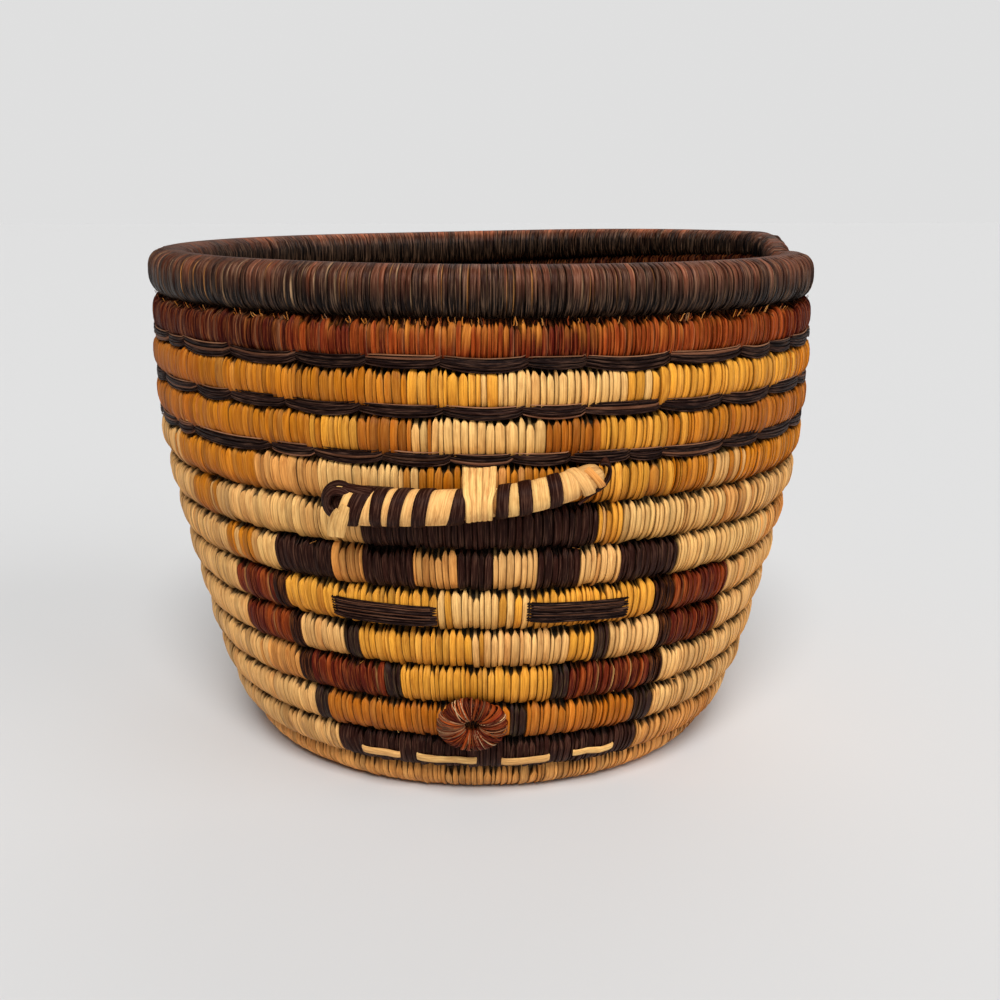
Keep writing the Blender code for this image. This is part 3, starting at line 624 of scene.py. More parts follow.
def sew(name, node, slot, start, bands, seed, course=None, plain=True):
    """Wrap a stretch of the coil in stitches, as one closed skin.

    The arrays run over the stitches, the columns across a stitch and the angles round the coil.
    """
    rng = np.random.default_rng(seed)
    rim = course == 1
    first, last, shades = lay_out_stitches(bands, start, COURSE_WIDTHS.get(course, SEWN_WIDTH), rng)
    middle, half = (first + last) / 2, (last - first) / 2
    angles = np.array(WALL_ANGLES if middle.mean() > SETTLE_TURNS - 1 or rim else FLOOR_ANGLES, float)
    angles = angles - RIM_SECTION_TURN * rim
    height = np.sin(np.radians(angles))
    across, groove, shade = np.array(RIM_COLUMNS if rim else COLUMNS).T[:, :, None]
    colours = stitch_colours(middle, shades, plain, rng)
    points, tips, beyond = shape_stitches(first, last, angles, across, groove, rim, rng)

    shade = shade * (1 + each(rng.normal(0, SIDE_TONE, len(first))) * across)
    # painted shade towards the foot of each stitch
    shade = shade * (1 - FOOT_SHADE_LOSS * rise(-height, *FOOT_SHADE_DEPTHS))
    # painted shade past the tips, where the stitches dive into the crease, and in the gaps between the tips
    shade = shade * (1 - 0.86 * beyond) * (1 - 0.80 * (np.abs(across) == 1) * tips)
    # painted shade: the lower part of each stitch darker and warmer, as if lit from above
    low_shade = np.array(LOW_SHADE_LOSS) * rise(height, *LOW_SHADE_HEIGHTS)[:, None]
    tint = colours[:, None, None] * shade[..., None] * (1 - low_shade)
    if slot == "maroon" and course is None:
        tint = edge_maroon(tint, shades, angles, middle, rng)
    if rim:
        tint = streak_rim(tint, middle, angles, height, rng)
    if course == 2:
        tint = lighten_tips(tint, middle, angles, height, beyond, rng)

    grain = grain_for(points, across * each(half * path_at(middle)[0]) * 2 * math.pi * GRAIN,
                      np.radians(angles) * COURSE_RADIUS * GRAIN,
                      each(rng.uniform(0, GRAIN_OFFSET, len(first))))
    skin = Skin(rng)
    skin.add_tube(*[field.reshape(-1, len(angles), 3) for field in (points, tint, grain)])
    skin.build(name, slot, node)


def shape_rim_end(turn, thick, out, up):
    """Thicken the rim's end downwards, let it drop behind the rim's start and round it off."""
    swell = RIM_END_SWELL * rise(turn - TURNS, -RIM_END_TURNS, -RIM_DROP_TURNS)
    grown = 1 + swell / thick
    rest = np.clip((turn - TURNS + RIM_END_ROUND) / RIM_END_ROUND, 0, 0.985)
    size = grown * np.sqrt(1 - rest ** 2)
    drop = np.clip((turn - TURNS + RIM_DROP_TURNS) / RIM_DROP_TURNS, 0, 1) ** 2
    return out * size - RIM_DROP_INWARDS * drop, up * size - swell - RIM_DROP * drop


def edge_maroon(tint, shades, angles, middle, rng):
    """Thin pale edges on some of the maroon splints, and two nearly white ones right of the nose."""
    chosen = {int(k): 0.35 for k in np.flatnonzero(rng.random(len(shades)) < PALE_EDGE_SHARE)}
    for stitch in PALE_EDGES:
        place = np.abs(middle - stitch_turn(10, stitch))
        if place.min() < stitch_turns(10, 1):
            chosen[int(place.argmin())] = 1.0
    for index, strength in chosen.items():
        if shades[index] != "maroon":
            continue
        along = bell(angles, rng.uniform(-10, 15), 55) * strength
        line = tint[index, :2]
        tint[index, :2] = line + (linear("ivory") * 0.8 - line) * along[:, None]
    return tint


def streak_rim(tint, middle, angles, height, rng):
    """The rim's splints: mottled, with painted light that makes their crest at the back a lighter brown,
    painted shade that makes them nearly black inside and below, and a painted highlight on some edges.
    """
    count = len(tint)
    tone = np.exp(follow(rng.normal(0, 0.48, count), 0.4)).clip(0.35, 1.8)[:, None, None, None]
    inside = rise(angles, *INSIDE_OF_RIM) * rise(angles, *INSIDE_END)
    # painted shade: nearly black below and on the inner side
    dark = (1 - 0.93 * rise(height, *UNDER_RIM)) * (1 - 0.88 * inside)
    tint = tint * tone * dark[:, None]
    brown = rng.random(count) < 0.30
    tint[brown] = tint[brown] * np.array((1.15, 1.02, 0.92))
    # painted light on the crest at the back
    back = rise(-1.2 * np.cos(np.radians(SEAM_ANGLE - 360 * middle)), 0, 1)[:, None, None, None]
    crest = bell(angles, *CREST_OF_RIM)[:, None]
    tint = tint * (1 + back * crest * np.array((1.6, 1.5, 1.2)))
    # painted highlights: pale lines along one edge of some splints
    for index in np.flatnonzero(rng.random(count) < 0.55):
        centre = rng.uniform(-10, 70)
        along = bell(angles, centre, rng.uniform(20, 55)) * rng.uniform(0.25, 1.0)
        pale = linear(("shine", "shine", "tan")[rng.integers(3)]) * rng.uniform(0.35, 1.0)
        tint[index, 1] += (pale - tint[index, 1]) * along[:, None]
    return tint


def lighten_tips(tint, middle, angles, height, beyond, rng):
    """Orange and yellow upper ends on the front splints of the maroon course, with painted shade inside."""
    count = len(middle)
    stitch = (turn_of(2) - middle) / stitch_turns(2, 1)
    strength = np.clip(rng.normal(0.20, 0.25, count), 0, 1)
    strength = strength + bell(stitch, 2, 16) * rng.uniform(0, 0.75, count)
    strength = strength * bell(stitch, 4, 26)
    reach = rise(height - each(rng.uniform(-0.5, 0.5, count)), 0, 0.8) * (1 - beyond)
    share = each(np.clip(strength, 0, 0.85)) * reach
    tint = tint + (linear("flame") * 0.8 - tint) * share[..., None]
    # painted highlights: a pale edge on some splints
    pale = rng.random(count) < 0.30
    tint[pale, 1] = tint[pale, 1] * 0.6 + linear("edge") * rng.uniform(0.2, 0.8, (pale.sum(), 1, 1))
    # painted shade on the inner side of the course
    inside = rise(angles, *INSIDE_OF_MAROON) * rise(angles, *INSIDE_END)
    return tint * (1 - inside[:, None] * np.array((0.55, 0.75, 0.75)))


def sew_face_course(course, left_stitch, blocks):
    """Sew the blocks of one course of the face. The coil meets their right end first."""
    left = stitch_turn(course, left_stitch)
    block_left = left
    for number, block in enumerate(blocks, 1):
        right = block_left - stitch_turns(course, sum(count for _, count in block))
        bands, turn = [], right
        for shade, count in reversed(block):
            turn += stitch_turns(course, count)
            bands.append((turn, shade))
        main = max(block, key=lambda band: band[1])[0]
        label = f"{course:02d}_{number}_{main}"
        sew(f"stitches_{label}", f"wrap_{label}", main, right, bands, 100 * course + number, plain=False)
        block_left = right
    return block_left, left


def sew_plain(label, start, end, seed):
    sew(f"plain_stitches_{label}", f"plain_wrap_{label}", "cream", start, [(end, "cream")], seed)


def sew_everything():
    plain_start, below = 0.0, "floor"
    for course, left_stitch, blocks in sorted(FACE, reverse=True):
        start, end = sew_face_course(course, left_stitch, blocks)
        label = f"{below}_to_{course:02d}"
        sew_plain(label, plain_start, start, course)
        plain_start, below = end, f"{course:02d}"
    sew_plain(f"{below}_to_top", plain_start, TURNS + 1 - LOWEST_PLAIN_TOP_COURSE, LOWEST_PLAIN_TOP_COURSE)
    for name, course, shade in TOP_COURSES:
        start = TURNS - course
        sew(f"{name}_stitches", f"{name}_wrap", shade, start, [(start + 1, shade)], 50 + course, course)


# The bundle of grass inside, and the knot

BUNDLE_INSET = 0.00155          # under the outside of the stitches
BUNDLE_SIDES = 10
BUNDLE_STATIONS = 110           # in each turn
KNOT_PROFILE = ((0.0, 0.06), (0.0, 0.5), (0.02, 0.86), (0.12, 0.98), (0.45, 1.04), (0.8, 0.99),
                (0.97, 0.8), (1.06, 0.45), (1.0, 0.06))     # parts of its height and width
KNOT_RAYS = 26
KNOT_RIDGE = (1.0, 0.86, 0.35, 0.86)    # height across a ray, and its painted shade, darkest in the grooves


def make_bundle():
    rng = np.random.default_rng(7)
    turn = np.arange(0, TURNS - 0.002, 1 / BUNDLE_STATIONS)[:, None]
    angle = 2 * math.pi * np.arange(BUNDLE_SIDES) / BUNDLE_SIDES
    thick = path_at(turn)[3]
    reach = thick - BUNDLE_INSET + rng.uniform(-0.00012, 0.00012, BUNDLE_SIDES)
    points = beside_coil(turn, *shape_rim_end(turn, thick, reach * np.cos(angle), reach * np.sin(angle)))
    skin = Skin(rng)
    # painted shade: the bundle shows only in the shaded gaps, so it is darkened nearly to black
    skin.add_tube(points, linear("grass") * 0.15, grain_for(points, angle * 5, turn * 400))
    skin.build("grass_bundle", "grass", "grass_foundation_coil")


def make_knot():
    """Small wrapped knot. Its outline follows the inner side of the first turn."""
    rng = np.random.default_rng(8)
    sides = KNOT_RAYS * len(KNOT_RIDGE)
    share = np.arange(sides) / sides
    radius, _, _, thick = path_at(share)
    outline = radius - thick - COURSE_GAP * 0.6
    top = 2 * START_RADIUS - REST_FLAT
    ridge = np.tile(KNOT_RIDGE, KNOT_RAYS)
    ray = np.repeat(np.arange(KNOT_RAYS), len(KNOT_RIDGE))
    tone = np.exp(rng.normal(0, 0.10, KNOT_RAYS))[ray]
    high, wide = np.array(KNOT_PROFILE).T[:, :, None]
    lump = 0.00022 * (ridge - 1) * (0.2 < high)
    points = on_azimuth(SEAM_ANGLE - 360 * share, outline * wide + lump, top * high + lump)
    # painted shade in the grooves between the rays
    tint = linear("cream") * (tone * (0.55 + 0.45 * ridge))[:, None]
    skin = Skin(rng)
    skin.add_tube(points, tint, grain_for(points, share * 40, np.arange(len(high))[:, None] * 2.0, ray))
    skin.build("wound_knot", "cream", "start_knot")


# The dark running stitches in the creases

# Name, the course over the crease, and the front angles where the stitches that are seen end
STRIPS = (("upper_strip", 2, (-53.4, -39.9, -26.8, -15.5, -4.8, 7.6, 15.7, 29.4, 44.0)),
          ("middle_strip", 3, (-49.5, -40.3, -28.9, -16.6, -4.4, 6.9, 15.8, 28.0, 40.0)),
          ("lower_strip", 4, (-52.2, -32.1, -24.4, -13.4, -3.5, 5.3, 13.8, 23.1, 28.4, 41.0)))
STITCH_SPAN = 11.0              # degrees, where the photograph doesn't show the ends
STRIP_OVERLAP = 0.7             # degrees that a stitch runs under the next one
STRIP_SEAT = 0.0045             # from the middle of the crease outwards
STRIP_RISE = 0.0012             # from the middle of the crease upwards
STRIP_BULGE = 0.0010            # that a stitch stands out in its middle
STRIP_SAG = (0.0003, 0.0012)    # that it hangs down there
STRIP_END = (0.0009, 0.0012)    # that its right end rises, and that it dives in
STRIP_BED = (0.00120, 0.00060)  # half width of the ground under its strands, and more in its middle
BED_DEPTH = 0.0003              # of that ground, inwards and downwards
STRAND_LIFT = 0.00045           # of the strands, outwards from the stitch
# A pale strand, edge or umber, is a painted highlight where an edge of the stitch catches the light
STRIP_STRANDS = ((0.00170, 0.00017, 0.70, "edge"), (0.00095, 0.00036, 0.10, "umber"),
                 (0.00010, 0.00038, 0.05, "umber"), (-0.00075, 0.00036, 0.10, "umber"),
                 (-0.00150, 0.00024, 0.25, "umber"))     # rise, half width, chance of a pale one, its shade


def crease_angles(seen, rng):
    """Ends of the running stitches round one turn, as front angles that run down to the right."""
    angles = list(seen)
    while angles[-1] < angles[0] + 360 - STITCH_SPAN * 1.4:
        angles.append(angles[-1] + STITCH_SPAN * rng.uniform(0.7, 1.3))
    angles.append(angles[0] + 360)
    return angles


def make_strip(name, course, seen, seed):
    rng = np.random.default_rng(seed)
    skin = Skin(rng)
    start = TURNS - course - 1
    share = np.linspace(0, 1, 15)
    bulge = np.sin(math.pi * share) ** 0.6
    angles = crease_angles(seen, rng)
    for first, last in zip(angles, angles[1:]):
        turn = start + (SEAM_ANGLE - first - (last - first + STRIP_OVERLAP) * share) / 360
        turn = turn + np.ceil(start - turn.min())
        turn = np.where(turn > start + 1, turn - 1, turn)
        if np.ptp(turn) > 0.5:
            continue
        up = STRIP_RISE - rng.uniform(*STRIP_SAG) * np.sin(math.pi * share)
        up = up + STRIP_END[0] * rise(share, 0.86, 1)
        out = STRIP_SEAT + STRIP_BULGE * bulge - STRIP_END[1] * rise(share, 0.9, 1)
        bed = beside_crease(turn, out - BED_DEPTH, up - BED_DEPTH)
        above = beside_crease(turn, out + 0.0004, up + 0.0020) - bed
        facing_out = unit(np.cross(np.gradient(bed, axis=0), above))
        if (facing_out[:, :2] * bed[:, :2]).sum() < 0:
            facing_out = -facing_out
        tilted = unit(facing_out + 0.25 * unit(above))
        skin.add_ribbon(bed, tilted, STRIP_BED[0] + STRIP_BED[1] * bulge, 0.00045, "soot", tone=0.2)
        for lift, width, pale, pale_shade in STRIP_STRANDS:
            lift = lift * (0.70 + 0.30 * bulge) + rng.normal(0, 0.00015)
            line = beside_crease(turn, out + STRAND_LIFT - 60 * lift ** 2, up - BED_DEPTH + lift)
            # painted highlight: some strands pale
            shade = pale_shade if rng.random() < pale else "soot"
            half = width * rng.uniform(0.8, 1.2) * (0.6 + 0.4 * bulge)
            skin.add_ribbon(line, tilted, half, 0.00022, shade, tone=0.25)
    skin.build(f"{name}_running_stitches", "black", name)


# The wrapped roll over the face

ROLL_COURSE = 5
ROLL_LENGTH = 0.0690
ROLL_DROP = 0.49 * COURSE_PITCH
ROLL_RISE = 0.79 * COURSE_PITCH
ROLL_LEFT_RADIUS = 0.0053
ROLL_RIGHT_RADIUS = 0.0037
ROLL_WRAP_START = 0.03
ROLL_WRAP_END = 0.885
ROLL_JOIN = 0.518
ROLL_PINCH = 0.17               # that the strap narrows it
ROLL_PINCH_SPREAD = 0.07
ROLL_ANGLES = np.arange(20) * 18.0
ROLL_MILLIMETRES = 69           # along it, for the grain
SEAT_ANGLES = np.radians(np.arange(-88, 92, 4))     # of a course's section, where the roll may rest
# Dark bands: where each lies on top of the roll, half its width there, and the same underneath, as
# parts of the roll's length
ROLL_BANDS = ((0.116, 0.034, 0.042, 0.022), (0.170, 0.029, 0.142, 0.021), (0.249, 0.025, 0.201, 0.026),
              (0.332, 0.026, 0.291, 0.025), (0.458, 0.020, 0.420, 0.034), (0.618, 0.024, 0.590, 0.021),
              (0.690, 0.025, 0.670, 0.022), (0.796, 0.023, 0.774, 0.025))
ROLL_ENDS = ((0.020, 0.03, -0.02, 0.02), (0.895, 0.02, 0.875, 0.02))     # of the pale wrap, likewise
CAP_BANDS = ((0.868, 0.020, 0.905, 0.030), (0.905, 0.014, 0.955, 0.016))    # likewise
CAP_RINGS = ((0.87, 0.84), (0.885, 0.90), (0.90, 0.95), (0.92, 0.95), (0.94, 0.88), (0.955, 0.74),
             (0.966, 0.48), (0.972, 0.12))      # place on the roll, and size as a part of its radius
CURL_PLACE = 0.085
CURL_OFFSET = 0.0049            # of the curls' centre to the left of that place
# Curled splints: radius, angles of both ends, distance outwards and half width
CURLS = ((0.0046, 60, 205, 0.0016, 0.0017), (0.0038, 95, 255, 0.0026, 0.0015),
         (0.0042, 160, 285, 0.0008, 0.0017), (0.0034, 20, 150, 0.0030, 0.0012),
         (0.0020, 40, 250, 0.0012, 0.0018))
# Pale ends that hang there: places of the upper and the lower end on the roll, angle of the upper one
PALE_ENDS = ((0.030, -0.012, -2), (0.052, 0.016, 12))
PALE_ENDS_HANG = 0.0032         # that their lower ends stand off
RIGHT_LOOPS = 6
RIGHT_STRANDS = 3               # that run off to the left under the right end
RIGHT_LOOP_PLACE = 0.935
STRAP_SPLINTS = 5
STRAP_WIDTH = 0.0078
STRAP_END = -78                 # degrees, under the roll


def seat_radius(front_angle, height, thick):
    """Distance from the axis at which a piece of this radius rests on the courses beside it."""
    reach = thick + FIT
    turn = turn_of(np.arange(1, TURNS)[:, None], front_angle)
    radius, level, lean, course_thick = path_at(turn)
    far = course_thick * ((np.abs(np.cos(SEAT_ANGLES)) / SECTION_WIDTH) ** SECTION_POWER
                          + np.abs(np.sin(SEAT_ANGLES)) ** SECTION_POWER) ** (-1 / SECTION_POWER)
    ring = radius + far * np.cos(SEAT_ANGLES - lean)
    drop = np.abs(height - level - far * np.sin(SEAT_ANGLES - lean))
    return float((ring + np.sqrt(np.maximum(reach ** 2 - drop ** 2, 0)))[drop < reach].max())


def roll_at(share):
    """Middle, outward direction and radius of the roll at a part of its length."""
    radius, level, _, course_thick = path_at(turn_of(ROLL_COURSE))
    front_angle = math.degrees(ROLL_LENGTH / (radius + course_thick)) * (share - 0.5)
    height = level - ROLL_DROP + ROLL_RISE * share ** 3
    thick = ROLL_LEFT_RADIUS + (ROLL_RIGHT_RADIUS - ROLL_LEFT_RADIUS) * share
    thick = thick * (1 - ROLL_PINCH * bell(share, ROLL_JOIN, ROLL_PINCH_SPREAD))
    middle = on_azimuth(front_angle, seat_radius(front_angle, height, thick), height)
    return middle, on_azimuth(front_angle, 1.0, 0.0), thick


def round_roll(share, angle, extra):
    """A point this far outside the roll's surface. Angle 0 is outwards and 90 is upwards."""
    middle, out, thick = roll_at(share)
    along = unit(roll_at(share + 0.01)[0] - roll_at(share - 0.01)[0])
    out = unit(out - along * (out @ along))
    a = math.radians(angle)
    return middle + (thick + extra) * (math.cos(a) * out + math.sin(a) * np.cross(out, along))


def roll_line(shares, angles, extra):
    """A line over the roll, and the direction from the roll's middle to each of its points."""
    line = np.array([round_roll(s, a, e) for s, a, e in zip(shares, angles, extra + 0 * shares)])
    return line, line - np.array([roll_at(s)[0] for s in shares])


def add_band(skin, band, lift, thick, shade, low=-125, high=125, wide=1.0):
    """A splint wrapped round the front of the roll, between these angles."""
    top, top_half, bottom, bottom_half = band
    angles = np.linspace(high, low, 21)
    upper = (angles + 90) / 180
    line, outward = roll_line(bottom + (top - bottom) * upper, angles, lift)
    half = (bottom_half + (top_half - bottom_half) * np.clip(upper, 0, 1)) * ROLL_LENGTH * wide
    half = half * (1 + 0.05 * np.cumsum(skin.rng.normal(0, 0.35, len(angles))))
    skin.add_ribbon(line, outward, half, thick, shade)


def fill_between(left, right):
    """Middle and half width of a splint that fills the space between two bands and reaches under them."""
    start, end = left[0] + left[1], right[0] - right[1]
    return (start + end) / 2, max((end - start) / 2, 0.004) + 0.008


def make_roll():
    rng = np.random.default_rng(31)
    dark = Skin(rng)
    for band in ROLL_BANDS:
        add_band(dark, band, -0.00005, 0.00042, "black", wide=1.04)
    dark.build("roll_dark_bands", "black", "roll_right_wrap")

    pale = Skin(rng)
    shares = np.linspace(ROLL_WRAP_START, ROLL_WRAP_END, 40)
    tube = np.array([[round_roll(s, a, -0.00045) for a in ROLL_ANGLES] for s in shares])
    grain = grain_for(tube, shares[:, None] * ROLL_MILLIMETRES, ROLL_ANGLES * 0.09)
    pale.add_tube(tube, linear("tan") * 0.55, grain)
    edges = [ROLL_ENDS[0], *ROLL_BANDS, ROLL_ENDS[1]]
    for left, right in zip(edges, edges[1:]):
        band = (*fill_between(left[:2], right[:2]), *fill_between(left[2:], right[2:]))
        add_band(pale, band, -0.0004, 0.00042, ("ivory", "cream")[rng.integers(2)])
    pale.build("roll_pale_wrap", "cream", "roll_left_wrap")
    make_roll_cap(rng)
    make_left_curls(rng)
    make_right_loops(rng)
    make_strap(rng)


def make_roll_cap(rng):
    """The pale blunt right end, with a diagonal splint before it."""
    cap = Skin(rng)
    rings = []
    for share, size in CAP_RINGS:
        middle = roll_at(share)[0]
        sizes = size * (1 - 0.10 * bell(ROLL_ANGLES, 20 + 900 * (share - 0.92), 16))
        rings.append([middle + (round_roll(share, a, 0) - middle) * s for a, s in zip(ROLL_ANGLES, sizes)])
    rings = np.array(rings)
    shares = np.array(CAP_RINGS)[:, :1]
    cap.add_tube(rings, linear("cream") * 0.8,
                 grain_for(rings, ROLL_ANGLES * 0.08, shares * ROLL_MILLIMETRES))
    add_band(cap, CAP_BANDS[0], -0.0003, 0.0006, "cream", -110, 110)
    add_band(cap, CAP_BANDS[1], -0.0003, 0.0005, "tan", -80, 60)
    cap.build("roll_right_cap", "cream", "roll_core")


def arc(centre, right, radius, start, end):
    """An upright arc. Angle 0 is to the right and 90 is upwards."""
    angle = np.radians(np.linspace(start, end, 17))[:, None]
    return centre + radius * (np.cos(angle) * right + np.sin(angle) * UPWARDS)


def make_left_curls(rng):
    """The curled dark splints at the left end, and the pale ends that hang there."""
    centre = roll_at(CURL_PLACE - CURL_OFFSET / ROLL_LENGTH)[0]
    right = unit(roll_at(CURL_PLACE)[0] - centre)
    out = unit(centre * (1, 1, 0))
    seat = centre + UPWARDS * 0.0009
    curl = Skin(rng)
    for radius, start, end, depth, wide in CURLS:
        line = arc(seat + out * depth, right, radius, start, end)
        taper = np.sin(np.linspace(0.25, math.pi - 0.12, len(line))) ** 0.5
        curl.add_ribbon(line, unit(line - seat) * 0.45 + out * 0.9, wide * taper, 0.0006, "black", tone=0.2)
    line, _ = roll_line(np.linspace(0.135, 0.0, 12), np.linspace(60, 75, 12), 0.0001)
    curl.add_ribbon(line, out + UPWARDS * 1.2, 0.0014, 0.0007, "black")
    curl.build("roll_left_curl", "black", "roll_left_loop")

    ends = Skin(rng)
    down = np.linspace(0, 1, 13)
    for top, low, angle in PALE_ENDS:
        line, outward = roll_line(np.linspace(top, low, 13), np.linspace(angle, -64, 13),
                                  0.0001 + PALE_ENDS_HANG * down ** 3)
        ends.add_ribbon(line, outward, 0.0018 * np.sin(0.5 + 2.1 * down) ** 0.5, 0.0004, "ivory")
    strand = arc(seat + out * 0.0024, right, 0.0043, 80, 140)
    ends.add_ribbon(strand, out, 0.00035, 0.0003, "ivory")
    ends.build("roll_left_pale_ends", "cream")


def make_right_loops(rng):
    """Thin dark splints round the right end, and strands that run off to the left under it."""
    centre, out, thick = roll_at(RIGHT_LOOP_PLACE)
    along = unit(roll_at(0.95)[0] - roll_at(0.92)[0])
    loops = Skin(rng)
    for number in range(RIGHT_LOOPS):
        begin = centre + out * (0.0024 - 0.0006 * number) + along * 0.0009
        line = arc(begin, along, thick * (0.86 + 0.05 * number), 86 - 7 * number, -108 + 5 * number)
        loops.add_ribbon(line, unit(line - centre) + out * 0.8, 0.00052, 0.00044, "black", ROUND_PROFILE, 0.3)
    for number in range(RIGHT_STRANDS):
        begin = centre - UPWARDS * (thick + 0.0002) + out * 0.001 + along * (0.002 - 0.0013 * number)
        line = begin + np.linspace(0, 1, 8)[:, None] * (-along * 0.004 - UPWARDS * (0.0004 + 0.0005 * number))
        loops.add_ribbon(line, out, 0.0004, 0.0003, "black", ROUND_PROFILE, 0.3)
    loops.build("roll_right_loops", "black", "roll_end_ring")


def make_strap(rng):
    """Splints that come out of the crease, cross the fifth course and bind the roll."""
    skin = Skin(rng)
    radius, height, _, thick = path_at(turn_of(ROLL_COURSE))
    middle, _, roll_thick = roll_at(ROLL_JOIN)
    ring, level = math.hypot(middle[0], middle[1]), middle[2]
    apart = math.hypot(ring - radius, level - height)
    taut = math.degrees(math.atan2(level - height, ring - radius) + math.acos((thick - roll_thick) / apart))
    slope = (roll_at(0.55)[0][2] - roll_at(0.45)[0][2]) / (0.1 * ROLL_LENGTH)
    for number in range(STRAP_SPLINTS):
        lift = 0.0007 + rng.uniform(0, 0.0002)
        profile = []
        for angle in (26 + rng.uniform(-4, 3), 14, 2):
            a = math.radians(angle + taut)
            profile.append((radius + (thick + lift) * math.cos(a), height + (thick + lift) * math.sin(a)))
        for angle in np.linspace(taut, STRAP_END + rng.uniform(-8, 8), 13):
            a = math.radians(angle)
            reach = roll_thick + lift - 0.0004 * (taut - angle) / (taut - STRAP_END)
            profile.append((ring + reach * math.cos(a), level + reach * math.sin(a)))
        distance, up = smooth_line(np.array(profile), 3).T
        down = np.linspace(0, 1, len(up))
        gather = rise(2.2 * down, 0, 1)
        place = (2 * number / (STRAP_SPLINTS - 1) - 1) * STRAP_WIDTH / 2 * (1.0 - 0.30 * gather)
        line = np.stack([place + middle[0], -distance, up + slope * place], -1)
        normal = np.stack([0 * down, np.gradient(up), np.gradient(distance)], -1)
        half = 0.00098 * np.clip(down * 9 + 0.18, 0, 1) * (1 - 0.22 * gather)
        skin.add_ribbon(line, normal, half, 0.00045, ("ivory", "cream")[number % 2], tone=0.05)
    skin.build("roll_tie_splints", "cream", "roll_tie_strap")


def smooth_line(line, rounds):
    """Round a line's corners off."""
    for _ in range(rounds):
        inner = np.empty((2 * (len(line) - 1), 2))
        inner[0::2] = 0.75 * line[:-1] + 0.25 * line[1:]
        inner[1::2] = 0.25 * line[:-1] + 0.75 * line[1:]
        line = np.concatenate([line[:1], inner, line[-1:]])
    return line[::2]


# The features sewn on the face

# Name, course, stitches at the left and the right end, and how far each end is shifted up
EYES = (("left_eye", 8, -17.2, -4.5, -0.0007, -0.0014), ("right_eye", 8, 5.9, 18.3, 0.0001, -0.0008))
TEETH = (("tooth_1", 12, -14.6, -9.6, 0.0, 0.0), ("tooth_2", 12, -7.4, -0.1, 0.0, -0.0004),
         ("tooth_3", 12, 3.0, 8.9, -0.0008, -0.0004), ("tooth_4", 12, 12.0, 17.4, 0.0, 0.0006))
BAR_POINTS = 19
EYE_HALF_HEIGHT = 0.0034
EYE_STRANDS = 7
EYE_DIVE = 0.0010
EYE_HIGHLIGHTS = 0.4                 # share of the strands that carry a fine pale line, a painted highlight
TOOTH_HALF_HEIGHT = 0.0014
TOOTH_DIVE = 0.0004
NOSE_COURSE = 11
NOSE_LIFT = 0.0023
NOSE_SHIFT = -0.0012            # sideways
NOSE_RING_RADIUS = 0.0052
NOSE_RING_THICKNESS = 0.0038
NOSE_SQUASH = (1.10, 1.00, 0.70)
NOSE_RAYS = 40
NOSE_FINE_RAYS = 70
NOSE_HOLE = 0.20                # that the ring is thinner on the side of its hole
NOSE_PLUG = 0.0026              # radius of a dark disc in the hole, a painted shade
NOSE_MIX = (("maroon", "brick", "rust", "umber"), (0.36, 0.26, 0.18, 0.20))
NOSE_FINE_MIX = (("maroon", "rust", "edge", "shine"), (0.42, 0.24, 0.22, 0.12))


def bar_line(bar, out, up, dive):
    """A line along a course between two stitches, whose ends dive into the wall."""
    _, course, left_stitch, right_stitch, left_shift, right_shift = bar
    share = np.linspace(0, 1, BAR_POINTS)
    turn = stitch_turn(course, left_stitch) * (1 - share) + stitch_turn(course, right_stitch) * share
    out = out + path_at(turn)[3]
    low = dive * (np.exp(-share * BAR_POINTS * 0.9) + np.exp(-(1 - share) * BAR_POINTS * 0.9))
    up = up + left_shift + (right_shift - left_shift) * share
    return beside_coil(turn, out - low, up), beside_coil(turn, out + 0.01, up)


def along_bar(values):
    """Values for all points of a bar, from a few of them."""
    return np.interp(np.linspace(0, 1, BAR_POINTS), np.linspace(0, 1, len(values)), values)


def make_eye(eye, seed):
    rng = np.random.default_rng(seed)
    skin = Skin(rng)
    bed, beyond = bar_line(eye, 0.0005, 0.0, EYE_DIVE)
    skin.add_ribbon(bed, beyond - bed, EYE_HALF_HEIGHT * 0.94, 0.0003, "soot", tone=0.1)
    for number in range(EYE_STRANDS):
        place = (number + 0.5) / EYE_STRANDS * 2 - 1
        out = 0.0008 - 0.0003 * place ** 2 + rng.uniform(-0.0001, 0.00015)
        line, beyond = bar_line(eye, out, place * EYE_HALF_HEIGHT * 0.92, EYE_DIVE)
        line = line + along_bar(rng.normal(0, 0.00014, 5))[:, None] * UPWARDS
        half = EYE_HALF_HEIGHT / EYE_STRANDS * rng.uniform(0.70, 0.92)
        skin.add_ribbon(line, beyond - line, half, 0.00055, "soot", ROUND_PROFILE, 0.35)
        # painted highlight: a fine pale line along some strands
        if rng.random() < EYE_HIGHLIGHTS:
            gleam = line + np.array((0, -0.00048, rng.uniform(-0.0001, 0.0003)))
            skin.add_ribbon(gleam[1:-1], (beyond - line)[1:-1], 0.00011, 0.00012, "umber", ROUND_PROFILE, 0.4)
    skin.build(f"{eye[0]}_strands", "black", eye[0])


def make_tooth(tooth, seed):
    rng = np.random.default_rng(seed)
    skin = Skin(rng)
    line, beyond = bar_line(tooth, 0.00055, 0.0, TOOTH_DIVE)
    line = line + along_bar(rng.normal(0, 0.00018, 4))[:, None] * UPWARDS
    half = TOOTH_HALF_HEIGHT * along_bar(rng.uniform(0.80, 1.05, 5))
    skin.add_ribbon(line, beyond - line, half, 0.0005, "ivory" if seed % 2 else "cream")
    skin.build(f"{tooth[0]}_splint", "cream", tooth[0])


